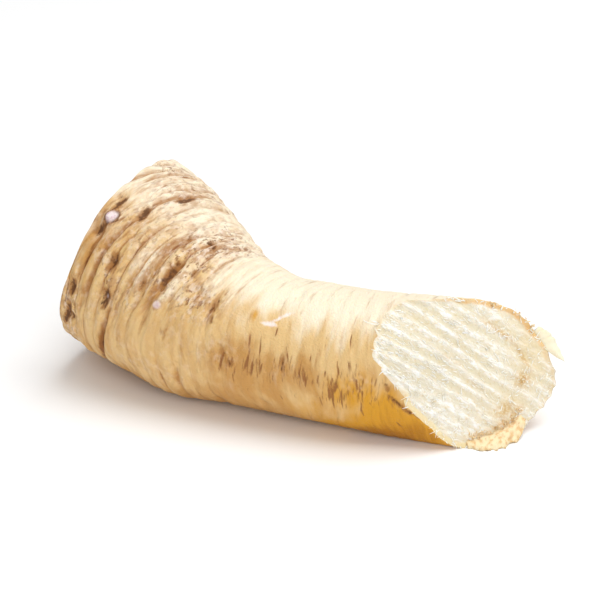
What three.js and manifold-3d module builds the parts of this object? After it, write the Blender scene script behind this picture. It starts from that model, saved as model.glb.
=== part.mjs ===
// A horseradish root lying on its side on the surface z = 0, in millimetres with +Z up.
// The thick leaf crown is at -X and lifts off the surface. The end at +X was grated away at a slant.
import * as THREE from 'three';
import { mergeVertices } from 'three/addons/utils/BufferGeometryUtils.js';
import Module from 'manifold-3d';

// Driving dimensions of the root's body.
// Each station of the axis is x, y, z and the root's radius there, from behind the crown to past the
// grated end.
const STATIONS = [
  [-91.5, 33.6, 43.0, 33.8],
  [-77.5, 27.0, 38.2, 34.9],
  [-64.0, 20.6, 34.1, 34.6],
  [-50.6, 14.6, 31.2, 32.0],
  [-36.8, 9.2, 28.2, 28.8],
  [-23.3, 5.8, 25.6, 25.8],
  [-9.0, 4.1, 23.9, 23.8],
  [12.0, 3.7, 22.9, 22.9],
  [34.5, 4.2, 22.9, 23.2],
  [56.0, 4.6, 23.6, 24.1],
  [86.0, 4.6, 24.0, 24.6],
];
const FIRST_STATION = 1;
const GRATED_STATION = 9;

// The two trimming planes: yaw turns from +X towards -Y and pitch turns up.
const CROWN_AT = 0.6;
const CROWN_YAW = 7;
const CROWN_PITCH = -20.5;
const CROWN_DOME = 3.2;
const GRATED_YAW = 43;
const GRATED_PITCH = 16;
const GRATED_DOME = 1.6;

// Furrows left by the grater, measured across the grated face.
const FURROW_PITCH = 4.2;
const FURROW_DEPTH = 0.95;
const FURROW_SLOPE = 39;
const FURROW_WANDER = 0.45;
// Where the grater's strokes start, the face falls away: place along the furrows and across them,
// fall, half length and half width.
const WORN_START = [-32, 9, 4.5, 8.5, 10];

// Growth rings round the root.
const RING_PITCH = 4.6;
const RING_HEIGHT_HEAD = 1.15;
const RING_HEIGHT_BODY = 0.3;
const HEAD_ENDS = 42;
const BODY_STARTS = 76;
const WORN_ANGLE = 17;

// Broad swellings and hollows: distance along the root, angle round it in degrees from the top
// towards -Y, height, half length in mm and half spread in degrees.
const SWELLINGS = [
  [34, 122, 1.5, 15, 36],
  [43, -18, -1.4, 15, 52],
  [4, -28, 0.5, 11, 38],
  [54, -26, -1.5, 13, 34],
  [76, -26, -1.4, 10, 34],
  [6, 35, 1.8, 12, 26],
  [51, 142, 2.0, 9, 28],
  [24, 148, -0.9, 12, 26],
  [60, -100, 0.9, 12, 40],
  [18, -138, 0.9, 13, 34],
  [104, -118, 0.7, 16, 42],
  [88, 62, -0.5, 14, 36],
  [128, 100, -4.2, 14, 26],
  [139, 128, -4.6, 17, 24],
  [128, 168, 1.2, 22, 20],
  [155, 192, 1.2, 16, 30],
  [121, 82, -3.3, 12, 23],
  [123, 5, 1.1, 12, 26],
  [163, -115, 1.7, 12, 14],
  [157, -70, -0.8, 14, 20],
  [158, -146, -0.9, 12, 14],
];

// Creases: distance, angle, half reach in degrees, depth, half width, and drift in mm for each
// 90 degrees round.
const CREASES = [
  [21.6, 62, 36, 1.0, 0.95, -4.6],
  [27.6, 112, 30, 1.3, 1.05, -13.5],
  [24.0, -14, 30, 0.9, 1.25, -1.5],
  [14.6, -2, 20, 0.6, 0.9, 1.0],
  [43.3, 58, 27, 1.3, 1.35, -2.5],
  [39.4, 32, 34, 1.0, 0.9, -2.2],
  [33.6, 76, 24, 0.7, 0.9, -6.0],
  [44.8, -4, 26, 0.6, 0.8, 2.0],
  [48.0, 2, 24, 0.6, 0.8, -1.0],
  [51.4, -8, 25, 0.5, 0.85, 1.5],
  [55.2, 10, 22, 0.5, 0.9, 0.0],
  [60.8, 55, 20, 0.7, 0.9, 1.0],
  [30.5, -80, 40, 1.1, 1.1, 4.0],
  [12.5, -95, 36, 1.0, 1.1, -3.0],
  [41.0, -130, 38, 1.0, 1.1, 3.0],
];
const SPARE_CREASES = 44;

// Scars and buds: distance, angle, height (negative is a pit), half width in mm.
const SCARS = [
  [15.6, 38, 2.6, 2.4],
  [14.2, 47.5, -1.7, 2.2],
  [11.3, 25, -0.8, 2.2],
  [23.9, 24, -1.1, 2.0],
  [26.4, 58, -0.8, 2.1],
  [28.5, 78, -0.9, 2.4],
  [14.6, 82, -1.2, 2.0],
  [15.4, 102, -1.5, 2.3],
  [38.0, 58, -0.9, 1.6],
  [44.8, 67, 1.2, 2.0],
  [49.0, 38, -0.8, 1.7],
  [54.5, 46, -0.7, 1.6],
  [49.2, 81, -0.5, 2.6],
  [60.6, 53, -0.8, 1.5],
  [16.0, -70, 1.9, 2.6],
  [33.5, -112, 1.5, 2.4],
  [22.0, 168, -0.9, 2.4],
  [67.0, 83, -0.4, 2.4],
];
const SPARE_SCARS = 22;

// Buds in the middle of the trimmed crown: share of the radius, angle, height, half width.
const CROWN_BUDS = [
  [0.12, 20, 3.4, 3.6],
  [0.36, 150, 2.4, 3.0],
  [0.4, 262, 2.0, 2.8],
  [0.55, 40, 1.5, 2.4],
];
const LEAF_SCAR_RINGS = 3.6;
const LEAF_SCAR_HEIGHT = 0.9;

// Strips of rind torn loose at the grated rim. Each row is one edge and then the other edge of the
// strip, as [level, rise, front] from the middle of the grated face.
const SIDE_FLAP = [
  [[25.8, 7.6, -3.2], [28.9, 10.4, -1.6]],
  [[26.6, 5.0, -3.2], [32.2, 7.6, -1.2]],
  [[27.4, 2.6, -3.2], [34.4, 4.4, -0.8]],
  [[28.2, 0.2, -3.2], [35.6, 0.6, -0.3]],
  [[29.4, -1.8, -3.0], [36.6, -3.0, 0.2]],
];
const LOWER_LIP = [
  [[17.6, -16.4, -2.8], [20.2, -19.6, 0.2]],
  [[13.4, -19.0, -2.6], [15.8, -24.4, 1.9]],
  [[8.0, -20.8, -2.4], [8.8, -25.7, 4.6]],
  [[2.5, -21.4, -2.2], [3.2, -25.8, 3.9]],
  [[-2.6, -21.6, -2.2], [-2.4, -25.0, 0.9]],
];
const STRIP_THICKNESS = 0.9;

// How finely the skin is divided, how far the uncut root runs on past the grated plane, and how much
// closer together the rows are at the head.
const ROWS = 90;
const COLUMNS = 46;
const CROWN_ROWS = 12;
const RUN_PAST = 14;
const HEAD_CROWDING = 0.28;

// The block that the grater took away: its size, its thickness and how finely its face is divided.
const BLOCK_SIZE = 96;
const BLOCK_BACK = 70;
const BLOCK_COLUMNS = 18;
const BLOCK_ROWS = 92;

// Width, depth and height of the space under the surface that the root lies on.
const GROUND = [300, 240, 30];

// Flat parts of the mesh that differ by less than this in mm become one face.
const FLATNESS = 0.03;

const rad = THREE.MathUtils.degToRad;
const gauss = (x) => Math.exp(-x * x);

// Repeatable draw between 0 and 1 for item n, choice k.
function draw(n, k) {
  const value = Math.sin(n * 127.1 + k * 311.7) * 43758.5453;
  return value - Math.floor(value);
}

// Angle difference in degrees, brought to -180..180.
function turn(angle) {
  return THREE.MathUtils.euclideanModulo(angle + 180, 360) - 180;
}

function planeNormal(yaw, pitch) {
  const flat = Math.cos(rad(pitch));
  return new THREE.Vector3(Math.cos(rad(yaw)) * flat, -Math.sin(rad(yaw)) * flat, Math.sin(rad(pitch)));
}

// Distance of each station along the axis, measured from the crown station.
function stationDistances() {
  const distances = [0];
  for (let i = 1; i < STATIONS.length; i += 1) {
    const a = new THREE.Vector3(...STATIONS[i - 1]);
    const b = new THREE.Vector3(...STATIONS[i]);
    distances.push(distances[i - 1] + a.distanceTo(b));
  }
  return distances.map((d) => d - distances[FIRST_STATION]);
}
const DISTANCES = stationDistances();

// Smooth rate of change of each station value with distance.
const SLOPES = STATIONS.map((_, i) => {
  const a = Math.max(i - 1, 0);
  const b = Math.min(i + 1, STATIONS.length - 1);
  return STATIONS[i].map((_, k) => (STATIONS[b][k] - STATIONS[a][k]) / (DISTANCES[b] - DISTANCES[a]));
});

// x, y, z and radius at a distance along the root, on a cubic through the stations.
function station(s) {
  let i = 0;
  while (i < STATIONS.length - 2 && s > DISTANCES[i + 1]) i += 1;
  const step = DISTANCES[i + 1] - DISTANCES[i];
  const u = (s - DISTANCES[i]) / step;
  const [u2, u3] = [u * u, u * u * u];
  return STATIONS[i].map((a, k) => {
    const start = (2 * u3 - 3 * u2 + 1) * a + (u3 - 2 * u2 + u) * step * SLOPES[i][k];
    const finish = (3 * u2 - 2 * u3) * STATIONS[i + 1][k] + (u3 - u2) * step * SLOPES[i + 1][k];
    return start + finish;
  });
}

// Centre, radius and the directions along, sideways (-Y) and up at a distance along the root.
function frameAt(s) {
  const [x, y, z, radius] = station(s);
  const ahead = new THREE.Vector3(...station(s + 0.1));
  const behind = new THREE.Vector3(...station(s - 0.1));
  const along = ahead.sub(behind).normalize();
  const side = new THREE.Vector3().crossVectors(along, new THREE.Vector3(0, 0, 1)).normalize();
  const up = new THREE.Vector3().crossVectors(side, along);
  return { centre: new THREE.Vector3(x, y, z), radius, along, side, up };
}

// Share of the head's roughness left at a distance: 1 on the crown, 0 on the slim body.
function headShare(s) {
  return 1 - THREE.MathUtils.smoothstep(s, HEAD_ENDS, BODY_STARTS);
}

// Growth rings: rounded ridges with sharp valleys, shifted and faded as they go round.
function ringRelief(s, angle) {
  const a = rad(angle);
  const slant = 0.45 * Math.sin(a + 0.6);
  const drift = slant + 0.25 * Math.sin(2 * a + 1.9 + s / 17) + 0.12 * Math.sin(5 * a + s / 7);
  const ridge = Math.abs(Math.sin(Math.PI * (s / RING_PITCH + drift))) ** 0.7 - 0.65;
  const height = THREE.MathUtils.lerp(RING_HEIGHT_BODY, RING_HEIGHT_HEAD, headShare(s));
  return height * ridge * (0.62 + 0.38 * Math.sin(3 * a + s / 11 + 2));
}

// More creases like the listed ones, close together on the head and shallow on the body.
function spareCreases() {
  return Array.from({ length: SPARE_CREASES }, (_, n) => {
    const s = 4 + 134 * draw(n, 1) ** 1.35;
    const strength = 0.35 + 0.65 * headShare(s);
    return [
      s,
      360 * draw(n, 2) - 180,
      14 + 26 * draw(n, 3),
      (0.45 + 0.5 * draw(n, 4)) * strength,
      0.85 + 0.3 * draw(n, 5),
      6 * draw(n, 6) - 3,
    ];
  });
}

// More pits and small warts, mostly on the head.
function spareScars() {
  return Array.from({ length: SPARE_SCARS }, (_, n) => [
    6 + 84 * draw(n, 11) ** 1.2,
    360 * draw(n, 12) - 180,
    draw(n, 13) < 0.7 ? -0.4 - 0.5 * draw(n, 14) : 0.5 + 0.6 * draw(n, 14),
    1.4 + 1.1 * draw(n, 15),
  ]);
}
const ALL_CREASES = [...CREASES, ...spareCreases()];
const ALL_SCARS = [...SCARS, ...spareScars()];

// Height of the skin over the plain round section.
function relief(s, angle, radius) {
  let height = ringRelief(s, angle);
  ALL_CREASES.forEach(([at, around, reach, depth, width, drift], n) => {
    const off = turn(angle - around);
    if (Math.abs(off) > 2 * reach) return;
    const line = at + (drift * off) / 90 + 0.5 * Math.sin(off / 9 + n);
    height -= depth * gauss((s - line) / width) * Math.exp(-((off / reach) ** 4));
  });
  for (const [at, around, bump, width] of ALL_SCARS) {
    const across = radius * rad(turn(angle - around));
    height += bump * gauss(Math.hypot(s - at, 0.8 * across) / width);
  }
  height *= 1 - 0.9 * gauss(turn(angle - 180) / WORN_ANGLE);
  for (const [at, around, swell, length, spread] of SWELLINGS) {
    height += swell * gauss((s - at) / length) * gauss(turn(angle - around) / spread);
  }
  return height;
}

function roundPoint(s, angle, height = 0) {
  const { centre, radius, side, up } = frameAt(s);
  const out = radius + height;
  centre.addScaledVector(side, out * Math.sin(rad(angle)));
  return centre.addScaledVector(up, out * Math.cos(rad(angle)));
}

// Distance along the root at which the line of skin at an angle meets a plane.
function meetPlane(angle, point, normal, guess) {
  let s = guess;
  for (let i = 0; i < 16; i += 1) {
    const miss = roundPoint(s, angle).sub(point).dot(normal);
    const rate = (roundPoint(s + 0.1, angle).sub(point).dot(normal) - miss) / 0.1;
    s -= THREE.MathUtils.clamp(miss / rate, -12, 12);
  }
  return s;
}

const crownNormal = planeNormal(CROWN_YAW, CROWN_PITCH);
const crownCentre = frameAt(CROWN_AT).centre;
const gratedNormal = planeNormal(GRATED_YAW, GRATED_PITCH);
const gratedAt = DISTANCES[GRATED_STATION];
const gratedCentre = frameAt(gratedAt).centre;

// Height of the trimmed crown: a low dome with the scars of leaf bases in rings and a few short buds.
function crownHeight(share, angle, reach) {
  const a = rad(angle);
  const lobes = share * (0.25 * Math.sin(3 * a) + 0.2 * Math.sin(2 * a + 1));
  const scars = Math.abs(Math.sin(Math.PI * (share * LEAF_SCAR_RINGS + lobes))) ** 0.7;
  let height = CROWN_DOME * (1 - share * share) + LEAF_SCAR_HEIGHT * (scars - 0.6) * (1 - share ** 8);
  for (const [at, around, tall, width] of CROWN_BUDS) {
    const dx = share * Math.cos(a) - at * Math.cos(rad(around));
    const dy = share * Math.sin(a) - at * Math.sin(rad(around));
    height += tall * gauss((reach * Math.hypot(dx, dy)) / width);
  }
  return height;
}

// The whole root as a closed surface that runs on past the grated plane.
function wholeRoot() {
  const positions = [];
  const index = [];
  const angles = Array.from({ length: COLUMNS }, (_, c) => (360 * c) / COLUMNS);
  const starts = angles.map((angle) => meetPlane(angle, crownCentre, crownNormal, CROWN_AT));
  const ends = angles.map((angle) => meetPlane(angle, gratedCentre, gratedNormal, gratedAt) + RUN_PAST);
  const skinPoint = (s, angle) => roundPoint(s, angle, relief(s, angle, frameAt(s).radius));
  const rim = angles.map((angle, c) => skinPoint(starts[c], angle));
  const middle = rim.reduce((sum, p) => sum.add(p), new THREE.Vector3()).divideScalar(COLUMNS);

  const add = (p) => positions.push(p.x, p.y, p.z) / 3 - 1;
  const crownPoint = (share, c) => {
    const reach = rim[c].distanceTo(middle);
    const flat = middle.clone().lerp(rim[c], share);
    return flat.addScaledVector(crownNormal, -crownHeight(share, angles[c], reach));
  };
  const buds = add(crownPoint(0, 0));
  for (let row = 1; row < CROWN_ROWS; row += 1) {
    const share = row / CROWN_ROWS;
    angles.forEach((_, c) => add(crownPoint(share, c)));
  }
  for (let row = 0; row <= ROWS; row += 1) {
    const u = row / ROWS;
    angles.forEach((angle, c) => {
      const s = THREE.MathUtils.lerp(starts[c], ends[c], u + HEAD_CROWDING * (u * u - u));
      add(skinPoint(s, angle));
    });
  }
  const tail = add(frameAt(gratedAt + RUN_PAST).centre);

  const rings = CROWN_ROWS + ROWS;
  const at = (ring, c) => 1 + ring * COLUMNS + (c % COLUMNS);
  for (let c = 0; c < COLUMNS; c += 1) {
    index.push(buds, at(0, c + 1), at(0, c));
    for (let ring = 0; ring < rings - 1; ring += 1) {
      index.push(at(ring, c), at(ring + 1, c + 1), at(ring + 1, c));
      index.push(at(ring, c), at(ring, c + 1), at(ring + 1, c + 1));
    }
    index.push(tail, at(rings - 1, c), at(rings - 1, c + 1));
  }
  const geometry = new THREE.BufferGeometry();
  geometry.setAttribute('position', new THREE.Float32BufferAttribute(positions, 3));
  geometry.setIndex(index);
  return geometry;
}

// The grated face without its furrows: a slight dome that falls away where the strokes start.
function faceDome(run, across) {
  const [at, over, fall, length, spread] = WORN_START;
  const start = gauss((run - at) / length) * gauss((across - over) / spread);
  return GRATED_DOME * (0.5 - (run * run + across * across) / 700) - fall * start;
}

// Height of the grated face over its plane: rounded furrows between sharp ridges, on the dome.
function furrowHeight(run, across) {
  const wave = Math.sin(run / 9 + across / 6) + 0.6 * Math.sin(run / 4.3 - across / 3.1 + 1);
  const lane = (across + FURROW_WANDER * wave) / FURROW_PITCH;
  const depth = FURROW_DEPTH * (0.75 + 0.25 * Math.sin(2.3 * Math.floor(lane) + run / 12));
  const valley = 1 - Math.abs(Math.sin(Math.PI * lane)) ** 0.8;
  return depth * (valley - 0.5) + faceDome(run, across);
}

// Directions on the grated face: level to the right, rising, and out of it.
const level = new THREE.Vector3(0, 0, 1).cross(gratedNormal).normalize();
const rise = new THREE.Vector3().crossVectors(gratedNormal, level);

// What the grater took away: a block whose inner face carries the furrows.
function gratedAway() {
  const block = new THREE.BoxGeometry(BLOCK_SIZE, BLOCK_SIZE, 1, BLOCK_COLUMNS, BLOCK_ROWS, 1);
  const place = block.getAttribute('position');
  for (let i = 0; i < place.count; i += 1) {
    const inner = place.getZ(i) < 0;
    place.setZ(i, inner ? furrowHeight(place.getX(i), place.getY(i)) : BLOCK_BACK);
  }
  const slope = rad(-FURROW_SLOPE);
  const run = level.clone().multiplyScalar(Math.cos(slope)).addScaledVector(rise, Math.sin(slope));
  const across = new THREE.Vector3().crossVectors(gratedNormal, run);
  block.applyMatrix4(new THREE.Matrix4().makeBasis(run, across, gratedNormal).setPosition(gratedCentre));
  return block;
}

// A thin strip between two edges, given in the directions of the grated face.
function tornStrip(rows) {
  const half = gratedNormal.clone().multiplyScalar(STRIP_THICKNESS / 2);
  const positions = [];
  const place = ([across, up, front], side) => {
    const p = gratedCentre.clone().addScaledVector(level, across).addScaledVector(rise, up);
    positions.push(...p.addScaledVector(gratedNormal, front).addScaledVector(half, side));
  };
  for (const [inner, outer] of rows) {
    place(inner, -1);
    place(outer, -1);
    place(outer, 1);
    place(inner, 1);
  }
  const index = [0, 2, 1, 0, 3, 2];
  const last = 4 * (rows.length - 1);
  index.push(last, last + 1, last + 2, last, last + 2, last + 3);
  for (let row = 0; row < last; row += 4) {
    for (let k = 0; k < 4; k += 1) {
      const next = (k + 1) % 4;
      index.push(row + k, row + 4 + next, row + 4 + k, row + k, row + next, row + 4 + next);
    }
  }
  const geometry = new THREE.BufferGeometry();
  geometry.setAttribute('position', new THREE.Float32BufferAttribute(positions, 3));
  geometry.setIndex(index);
  return geometry;
}

// Everything under the surface that the root lies on, so that it rests on small flats.
function belowSurface() {
  return new THREE.BoxGeometry(...GROUND).translate(0, 0, -GROUND[2] / 2);
}

const wasm = await Module();
wasm.setup();

function solid(geometry) {
  const plain = geometry.clone();
  plain.deleteAttribute('normal');
  plain.deleteAttribute('uv');
  const merged = mergeVertices(plain, 1e-4);
  return new wasm.Manifold(new wasm.Mesh({
    numProp: 3,
    vertProperties: new Float32Array(merged.getAttribute('position').array),
    triVerts: new Uint32Array(merged.getIndex().array),
  }));
}

function geometryOf(manifold) {
  const mesh = manifold.getMesh();
  const geometry = new THREE.BufferGeometry();
  geometry.setAttribute('position', new THREE.BufferAttribute(mesh.vertProperties, 3));
  geometry.setIndex(new THREE.BufferAttribute(mesh.triVerts, 1));
  geometry.computeVertexNormals();
  return geometry;
}

// The grated root as one mesh, moved so that the middle of its footprint is the origin.
function horseradishRoot() {
  const grated = solid(wholeRoot()).subtract(solid(gratedAway()));
  const torn = grated.add(solid(tornStrip(SIDE_FLAP))).add(solid(tornStrip(LOWER_LIP)));
  const root = torn.subtract(solid(belowSurface())).simplify(FLATNESS);
  const geometry = geometryOf(root);
  geometry.computeBoundingBox();
  const middle = geometry.boundingBox.getCenter(new THREE.Vector3());
  const skin = new THREE.MeshStandardMaterial({ color: '#dcbf86', roughness: 0.72, metalness: 0 });
  const mesh = new THREE.Mesh(geometry, skin);
  mesh.name = 'horseradish_root';
  mesh.position.set(-middle.x, -middle.y, 0);
  return mesh;
}

const group = new THREE.Group();
group.add(horseradishRoot());

export default group;
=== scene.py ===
"""A horseradish root lying on a pale floor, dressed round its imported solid.

Forms are worked out in millimetres in the root's own coordinates: s is the distance along its axis
from the crown, and angle goes round it in degrees, 0 at the top and 90 on the camera's side. A mesh
is turned to metres when it is made.
"""

import functools
import itertools
import logging
import math
from collections.abc import Iterable
from dataclasses import dataclass, field, replace
from enum import Enum

import bpy
import numpy as np
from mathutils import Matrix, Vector


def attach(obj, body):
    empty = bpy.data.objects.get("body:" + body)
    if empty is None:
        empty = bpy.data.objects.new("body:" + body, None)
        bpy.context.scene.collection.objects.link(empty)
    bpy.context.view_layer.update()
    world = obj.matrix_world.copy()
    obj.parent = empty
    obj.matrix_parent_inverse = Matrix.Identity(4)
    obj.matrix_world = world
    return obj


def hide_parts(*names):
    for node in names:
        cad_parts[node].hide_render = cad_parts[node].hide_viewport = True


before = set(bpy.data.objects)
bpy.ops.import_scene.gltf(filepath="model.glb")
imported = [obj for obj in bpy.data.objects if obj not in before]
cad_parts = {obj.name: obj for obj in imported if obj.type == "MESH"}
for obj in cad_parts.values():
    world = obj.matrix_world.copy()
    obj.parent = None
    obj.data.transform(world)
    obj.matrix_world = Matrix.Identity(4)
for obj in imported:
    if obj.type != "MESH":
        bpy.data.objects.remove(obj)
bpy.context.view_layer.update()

Array = np.ndarray
Rows = tuple[tuple[float, ...], ...]
Tree = bpy.types.NodeTree
Material = bpy.types.Material
Socket = bpy.types.NodeSocket
Value = float | tuple[float, ...] | Socket
LOG = logging.getLogger("horseradish")
MM = 0.001
NODE = "horseradish_root"
UP = np.array([0.0, 0.0, 1.0])
# How far apart two points are taken to measure a direction.
NEAR = 0.1
# Steps that bring a line of skin onto a trimming plane, and the longest of them.
MEETING_STEPS = 24
LONGEST_STEP = 12
# Factors of the repeatable draws.
DRAW_KEYS = np.array([127.1, 311.7, 74.7])
DRAW_SCALE = 43758.5453
SEED_KEY = 19.19
# From the form's coordinates to the frame, whose origin is the footprint's middle.
FRAME_SHIFT = np.array([3.93, -21.43, 0.0])


class RootPart(Enum):
    """The regions of the root's one surface, in the order of its material slots."""

    CROWN = 0
    SKIN = 1
    FLESH = 2


# Arithmetic shared by the forms.


def leftover(x: Array) -> Array:
    """A repeatable draw from 0 to 1: what a large multiple of a sine leaves after its point."""
    value = np.sin(x) * DRAW_SCALE
    return value - np.floor(value)


def draw(n: Array | float, k: float) -> Array:
    """Choice number k, from 0 to 1, for each of the items n."""
    return leftover(np.asarray(n, float) * DRAW_KEYS[0] + k * DRAW_KEYS[1])


def drawn_rows(count: int, key: int, *columns: tuple[float, float, float]) -> Array:
    """Draws rows of numbers: each is its column's low value plus its span times a draw to a power.

    Args:
        count: Number of rows.
        key: The first column's choice; each further column has the next.
        columns: Low value, span and power.

    Returns:
        The rows.
    """
    n = np.arange(count)
    return np.stack([
        low + span * draw(n, key + i) ** power for i, (low, span, power) in enumerate(columns)
    ], -1)


def gauss(x: Array) -> Array:
    """A bell: e to the power of minus x squared."""
    return np.exp(-x * x)


def ease(x: Array, low: float, high: float) -> Array:
    """A smooth step from 0 at low to 1 at high: 3t squared less 2t cubed."""
    t = np.clip((x - low) / (high - low), 0.0, 1.0)
    return t * t * (3.0 - 2.0 * t)


def turn(angle: Array) -> Array:
    """Degrees brought to the range -180 to 180."""
    return (angle + 180.0) % 360.0 - 180.0


def unit(v: Array) -> Array:
    """Vectors divided by their lengths."""
    return v / np.linalg.norm(v, axis=-1, keepdims=True)


def strongest(masks: Iterable[Array]) -> Array:
    """The highest of some masks at each point."""
    return functools.reduce(np.maximum, masks)


def grain(points: Array, seed: int) -> Array:
    """Smooth noise from -1 to 1: draws at a unit lattice's corners, eased and mixed between them.

    Args:
        points: Where it is read, as (..., 3).
        seed: Which noise it is.

    Returns:
        The noise at each point.
    """
    cell = np.floor(points)
    part = points - cell
    soft = part * part * (3.0 - 2.0 * part)
    total = np.zeros(points.shape[:-1])
    for corner in map(np.array, itertools.product((0.0, 1.0), repeat=3)):
        weight = np.prod(np.where(corner > 0.5, soft, 1.0 - soft), axis=-1)
        drawn = leftover((cell + corner) @ DRAW_KEYS + seed * SEED_KEY)
        total += weight * (2.0 * drawn - 1.0)
    return total


def plane_normal(yaw: float, pitch: float) -> Array:
    """Unit normal of a trimming plane.

    Args:
        yaw: Degrees that it is turned from +X towards -Y.
        pitch: Degrees that it is turned up.

    Returns:
        The normal.
    """
    flat = math.cos(math.radians(pitch))
    yaw = math.radians(yaw)
    return np.array([math.cos(yaw) * flat, -math.sin(yaw) * flat, math.sin(math.radians(pitch))])


# The root's form.


@dataclass
class RootForm:
    """The root's axis, girth and relief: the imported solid's own formula.

    Rows are as in the solid: stations are x, y, z and radius; swellings are distance, angle,
    height, length and spread; creases are distance, angle, half reach in degrees, depth, half width
    and drift for each 90 degrees; scars are distance, angle, height and half width; crown buds are
    share of the way out, angle, height and width. A plane is its yaw and pitch in degrees, and the
    worn start is its place along and across the furrows, depth, length and spread.
    """

    stations: Rows = (
        (-91.5, 33.6, 43.0, 33.8), (-77.5, 27.0, 38.2, 34.9), (-64.0, 20.6, 34.1, 34.6),
        (-50.6, 14.6, 31.2, 32.0), (-36.8, 9.2, 28.2, 28.8), (-23.3, 5.8, 25.6, 25.8),
        (-9.0, 4.1, 23.9, 23.8), (12.0, 3.7, 22.9, 22.9), (34.5, 4.2, 22.9, 23.2), (56.0, 4.6, 23.6, 24.1),
        (86.0, 4.6, 24.0, 24.6),
    )
    first_station: int = 1
    grated_station: int = 9
    crown_at: float = 0.6
    crown_plane: tuple[float, float] = (7.0, -20.5)
    crown_dome: float = 3.2
    grated_plane: tuple[float, float] = (43.0, 16.0)
    grated_dome: float = 1.6
    furrow_pitch: float = 4.2
    furrow_depth: float = 0.95
    furrow_slope: float = 39.0
    furrow_wander: float = 0.45
    worn_start: tuple[float, ...] = (-32.0, 9.0, 4.5, 8.5, 10.0)
    ring_pitch: float = 4.6
    ring_head: float = 1.15
    ring_body: float = 0.3
    head_ends: float = 42.0
    body_starts: float = 76.0
    worn_angle: float = 17.0
    swellings: Rows = (
        (34, 122, 1.5, 15, 36), (43, -18, -1.4, 15, 52), (4, -28, 0.5, 11, 38), (54, -26, -1.5, 13, 34),
        (76, -26, -1.4, 10, 34), (6, 35, 1.8, 12, 26), (51, 142, 2.0, 9, 28), (24, 148, -0.9, 12, 26),
        (60, -100, 0.9, 12, 40), (18, -138, 0.9, 13, 34), (104, -118, 0.7, 16, 42), (88, 62, -0.5, 14, 36),
        (128, 100, -4.2, 14, 26), (139, 128, -4.6, 17, 24), (128, 168, 1.2, 22, 20),
        (155, 192, 1.2, 16, 30), (121, 82, -3.3, 12, 23), (123, 5, 1.1, 12, 26), (163, -115, 1.7, 12, 14),
        (157, -70, -0.8, 14, 20), (158, -146, -0.9, 12, 14),
    )
    creases: Rows = (
        (21.6, 62, 36, 1.0, 0.95, -4.6), (27.6, 112, 30, 1.3, 1.05, -13.5),
        (24.0, -14, 30, 0.9, 1.25, -1.5), (14.6, -2, 20, 0.6, 0.9, 1.0), (43.3, 58, 27, 1.3, 1.35, -2.5),
        (39.4, 32, 34, 1.0, 0.9, -2.2), (33.6, 76, 24, 0.7, 0.9, -6.0), (44.8, -4, 26, 0.6, 0.8, 2.0),
        (48.0, 2, 24, 0.6, 0.8, -1.0), (51.4, -8, 25, 0.5, 0.85, 1.5), (55.2, 10, 22, 0.5, 0.9, 0.0),
        (60.8, 55, 20, 0.7, 0.9, 1.0), (30.5, -80, 40, 1.1, 1.1, 4.0), (12.5, -95, 36, 1.0, 1.1, -3.0),
        (41.0, -130, 38, 1.0, 1.1, 3.0),
    )
    spare_creases: int = 44
    scars: Rows = (
        (15.6, 38, 2.6, 2.4), (14.2, 47.5, -1.7, 2.2), (11.3, 25, -0.8, 2.2), (23.9, 24, -1.1, 2.0),
        (26.4, 58, -0.8, 2.1), (28.5, 78, -0.9, 2.4), (14.6, 82, -1.2, 2.0), (15.4, 102, -1.5, 2.3),
        (38.0, 58, -0.9, 1.6), (44.8, 67, 1.2, 2.0), (49.0, 38, -0.8, 1.7), (54.5, 46, -0.7, 1.6),
        (49.2, 81, -0.5, 2.6), (60.6, 53, -0.8, 1.5), (16.0, -70, 1.9, 2.6), (33.5, -112, 1.5, 2.4),
        (22.0, 168, -0.9, 2.4), (67.0, 83, -0.4, 2.4),
    )
    spare_scars: int = 22
    crown_buds: Rows = (
        (0.12, 20, 3.4, 3.6), (0.36, 150, 2.4, 3.0), (0.4, 262, 2.0, 2.8), (0.55, 40, 1.5, 2.4),
    )
    leaf_scar_rings: float = 3.6
    leaf_scar_height: float = 0.9
    distances: Array = field(init=False)
    slopes: Array = field(init=False)

    def __post_init__(self) -> None:
        """Works out each station's distance along the axis and the rates of change there."""
        rows = np.array(self.stations)
        along = np.concatenate([[0.0], np.cumsum(np.linalg.norm(np.diff(rows, axis=0), axis=1))])
        self.distances = along - along[self.first_station]
        order = np.arange(len(rows))
        before, after = np.maximum(order - 1, 0), np.minimum(order + 1, len(rows) - 1)
        gap = self.distances[after] - self.distances[before]
        self.slopes = (rows[after] - rows[before]) / gap[:, None]

    @property
    def grated_at(self) -> float:
        """Distance of the middle of the grated face."""
        return float(self.distances[self.grated_station])

    def station(self, s: Array) -> Array:
        """The axis and the girth, on a cubic between the stations.

        Args:
            s: Distances along the root, of any shape.

        Returns:
            Rows of x, y, z and radius.
        """
        s = np.asarray(s, float)
        rows = np.array(self.stations)
        i = np.clip(np.searchsorted(self.distances, s, side="left") - 1, 0, len(rows) - 2)
        step = (self.distances[i + 1] - self.distances[i])[..., None]
        u = (s[..., None] - self.distances[i][..., None]) / step
        u2, u3 = u * u, u * u * u
        start = (2 * u3 - 3 * u2 + 1) * rows[i] + (u3 - 2 * u2 + u) * step * self.slopes[i]
        finish = (3 * u2 - 2 * u3) * rows[i + 1] + (u3 - u2) * step * self.slopes[i + 1]
        return start + finish

    def radius(self, s: Array) -> Array:
        """The girth's radius at distances along the root."""
        return self.station(s)[..., 3]

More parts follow.
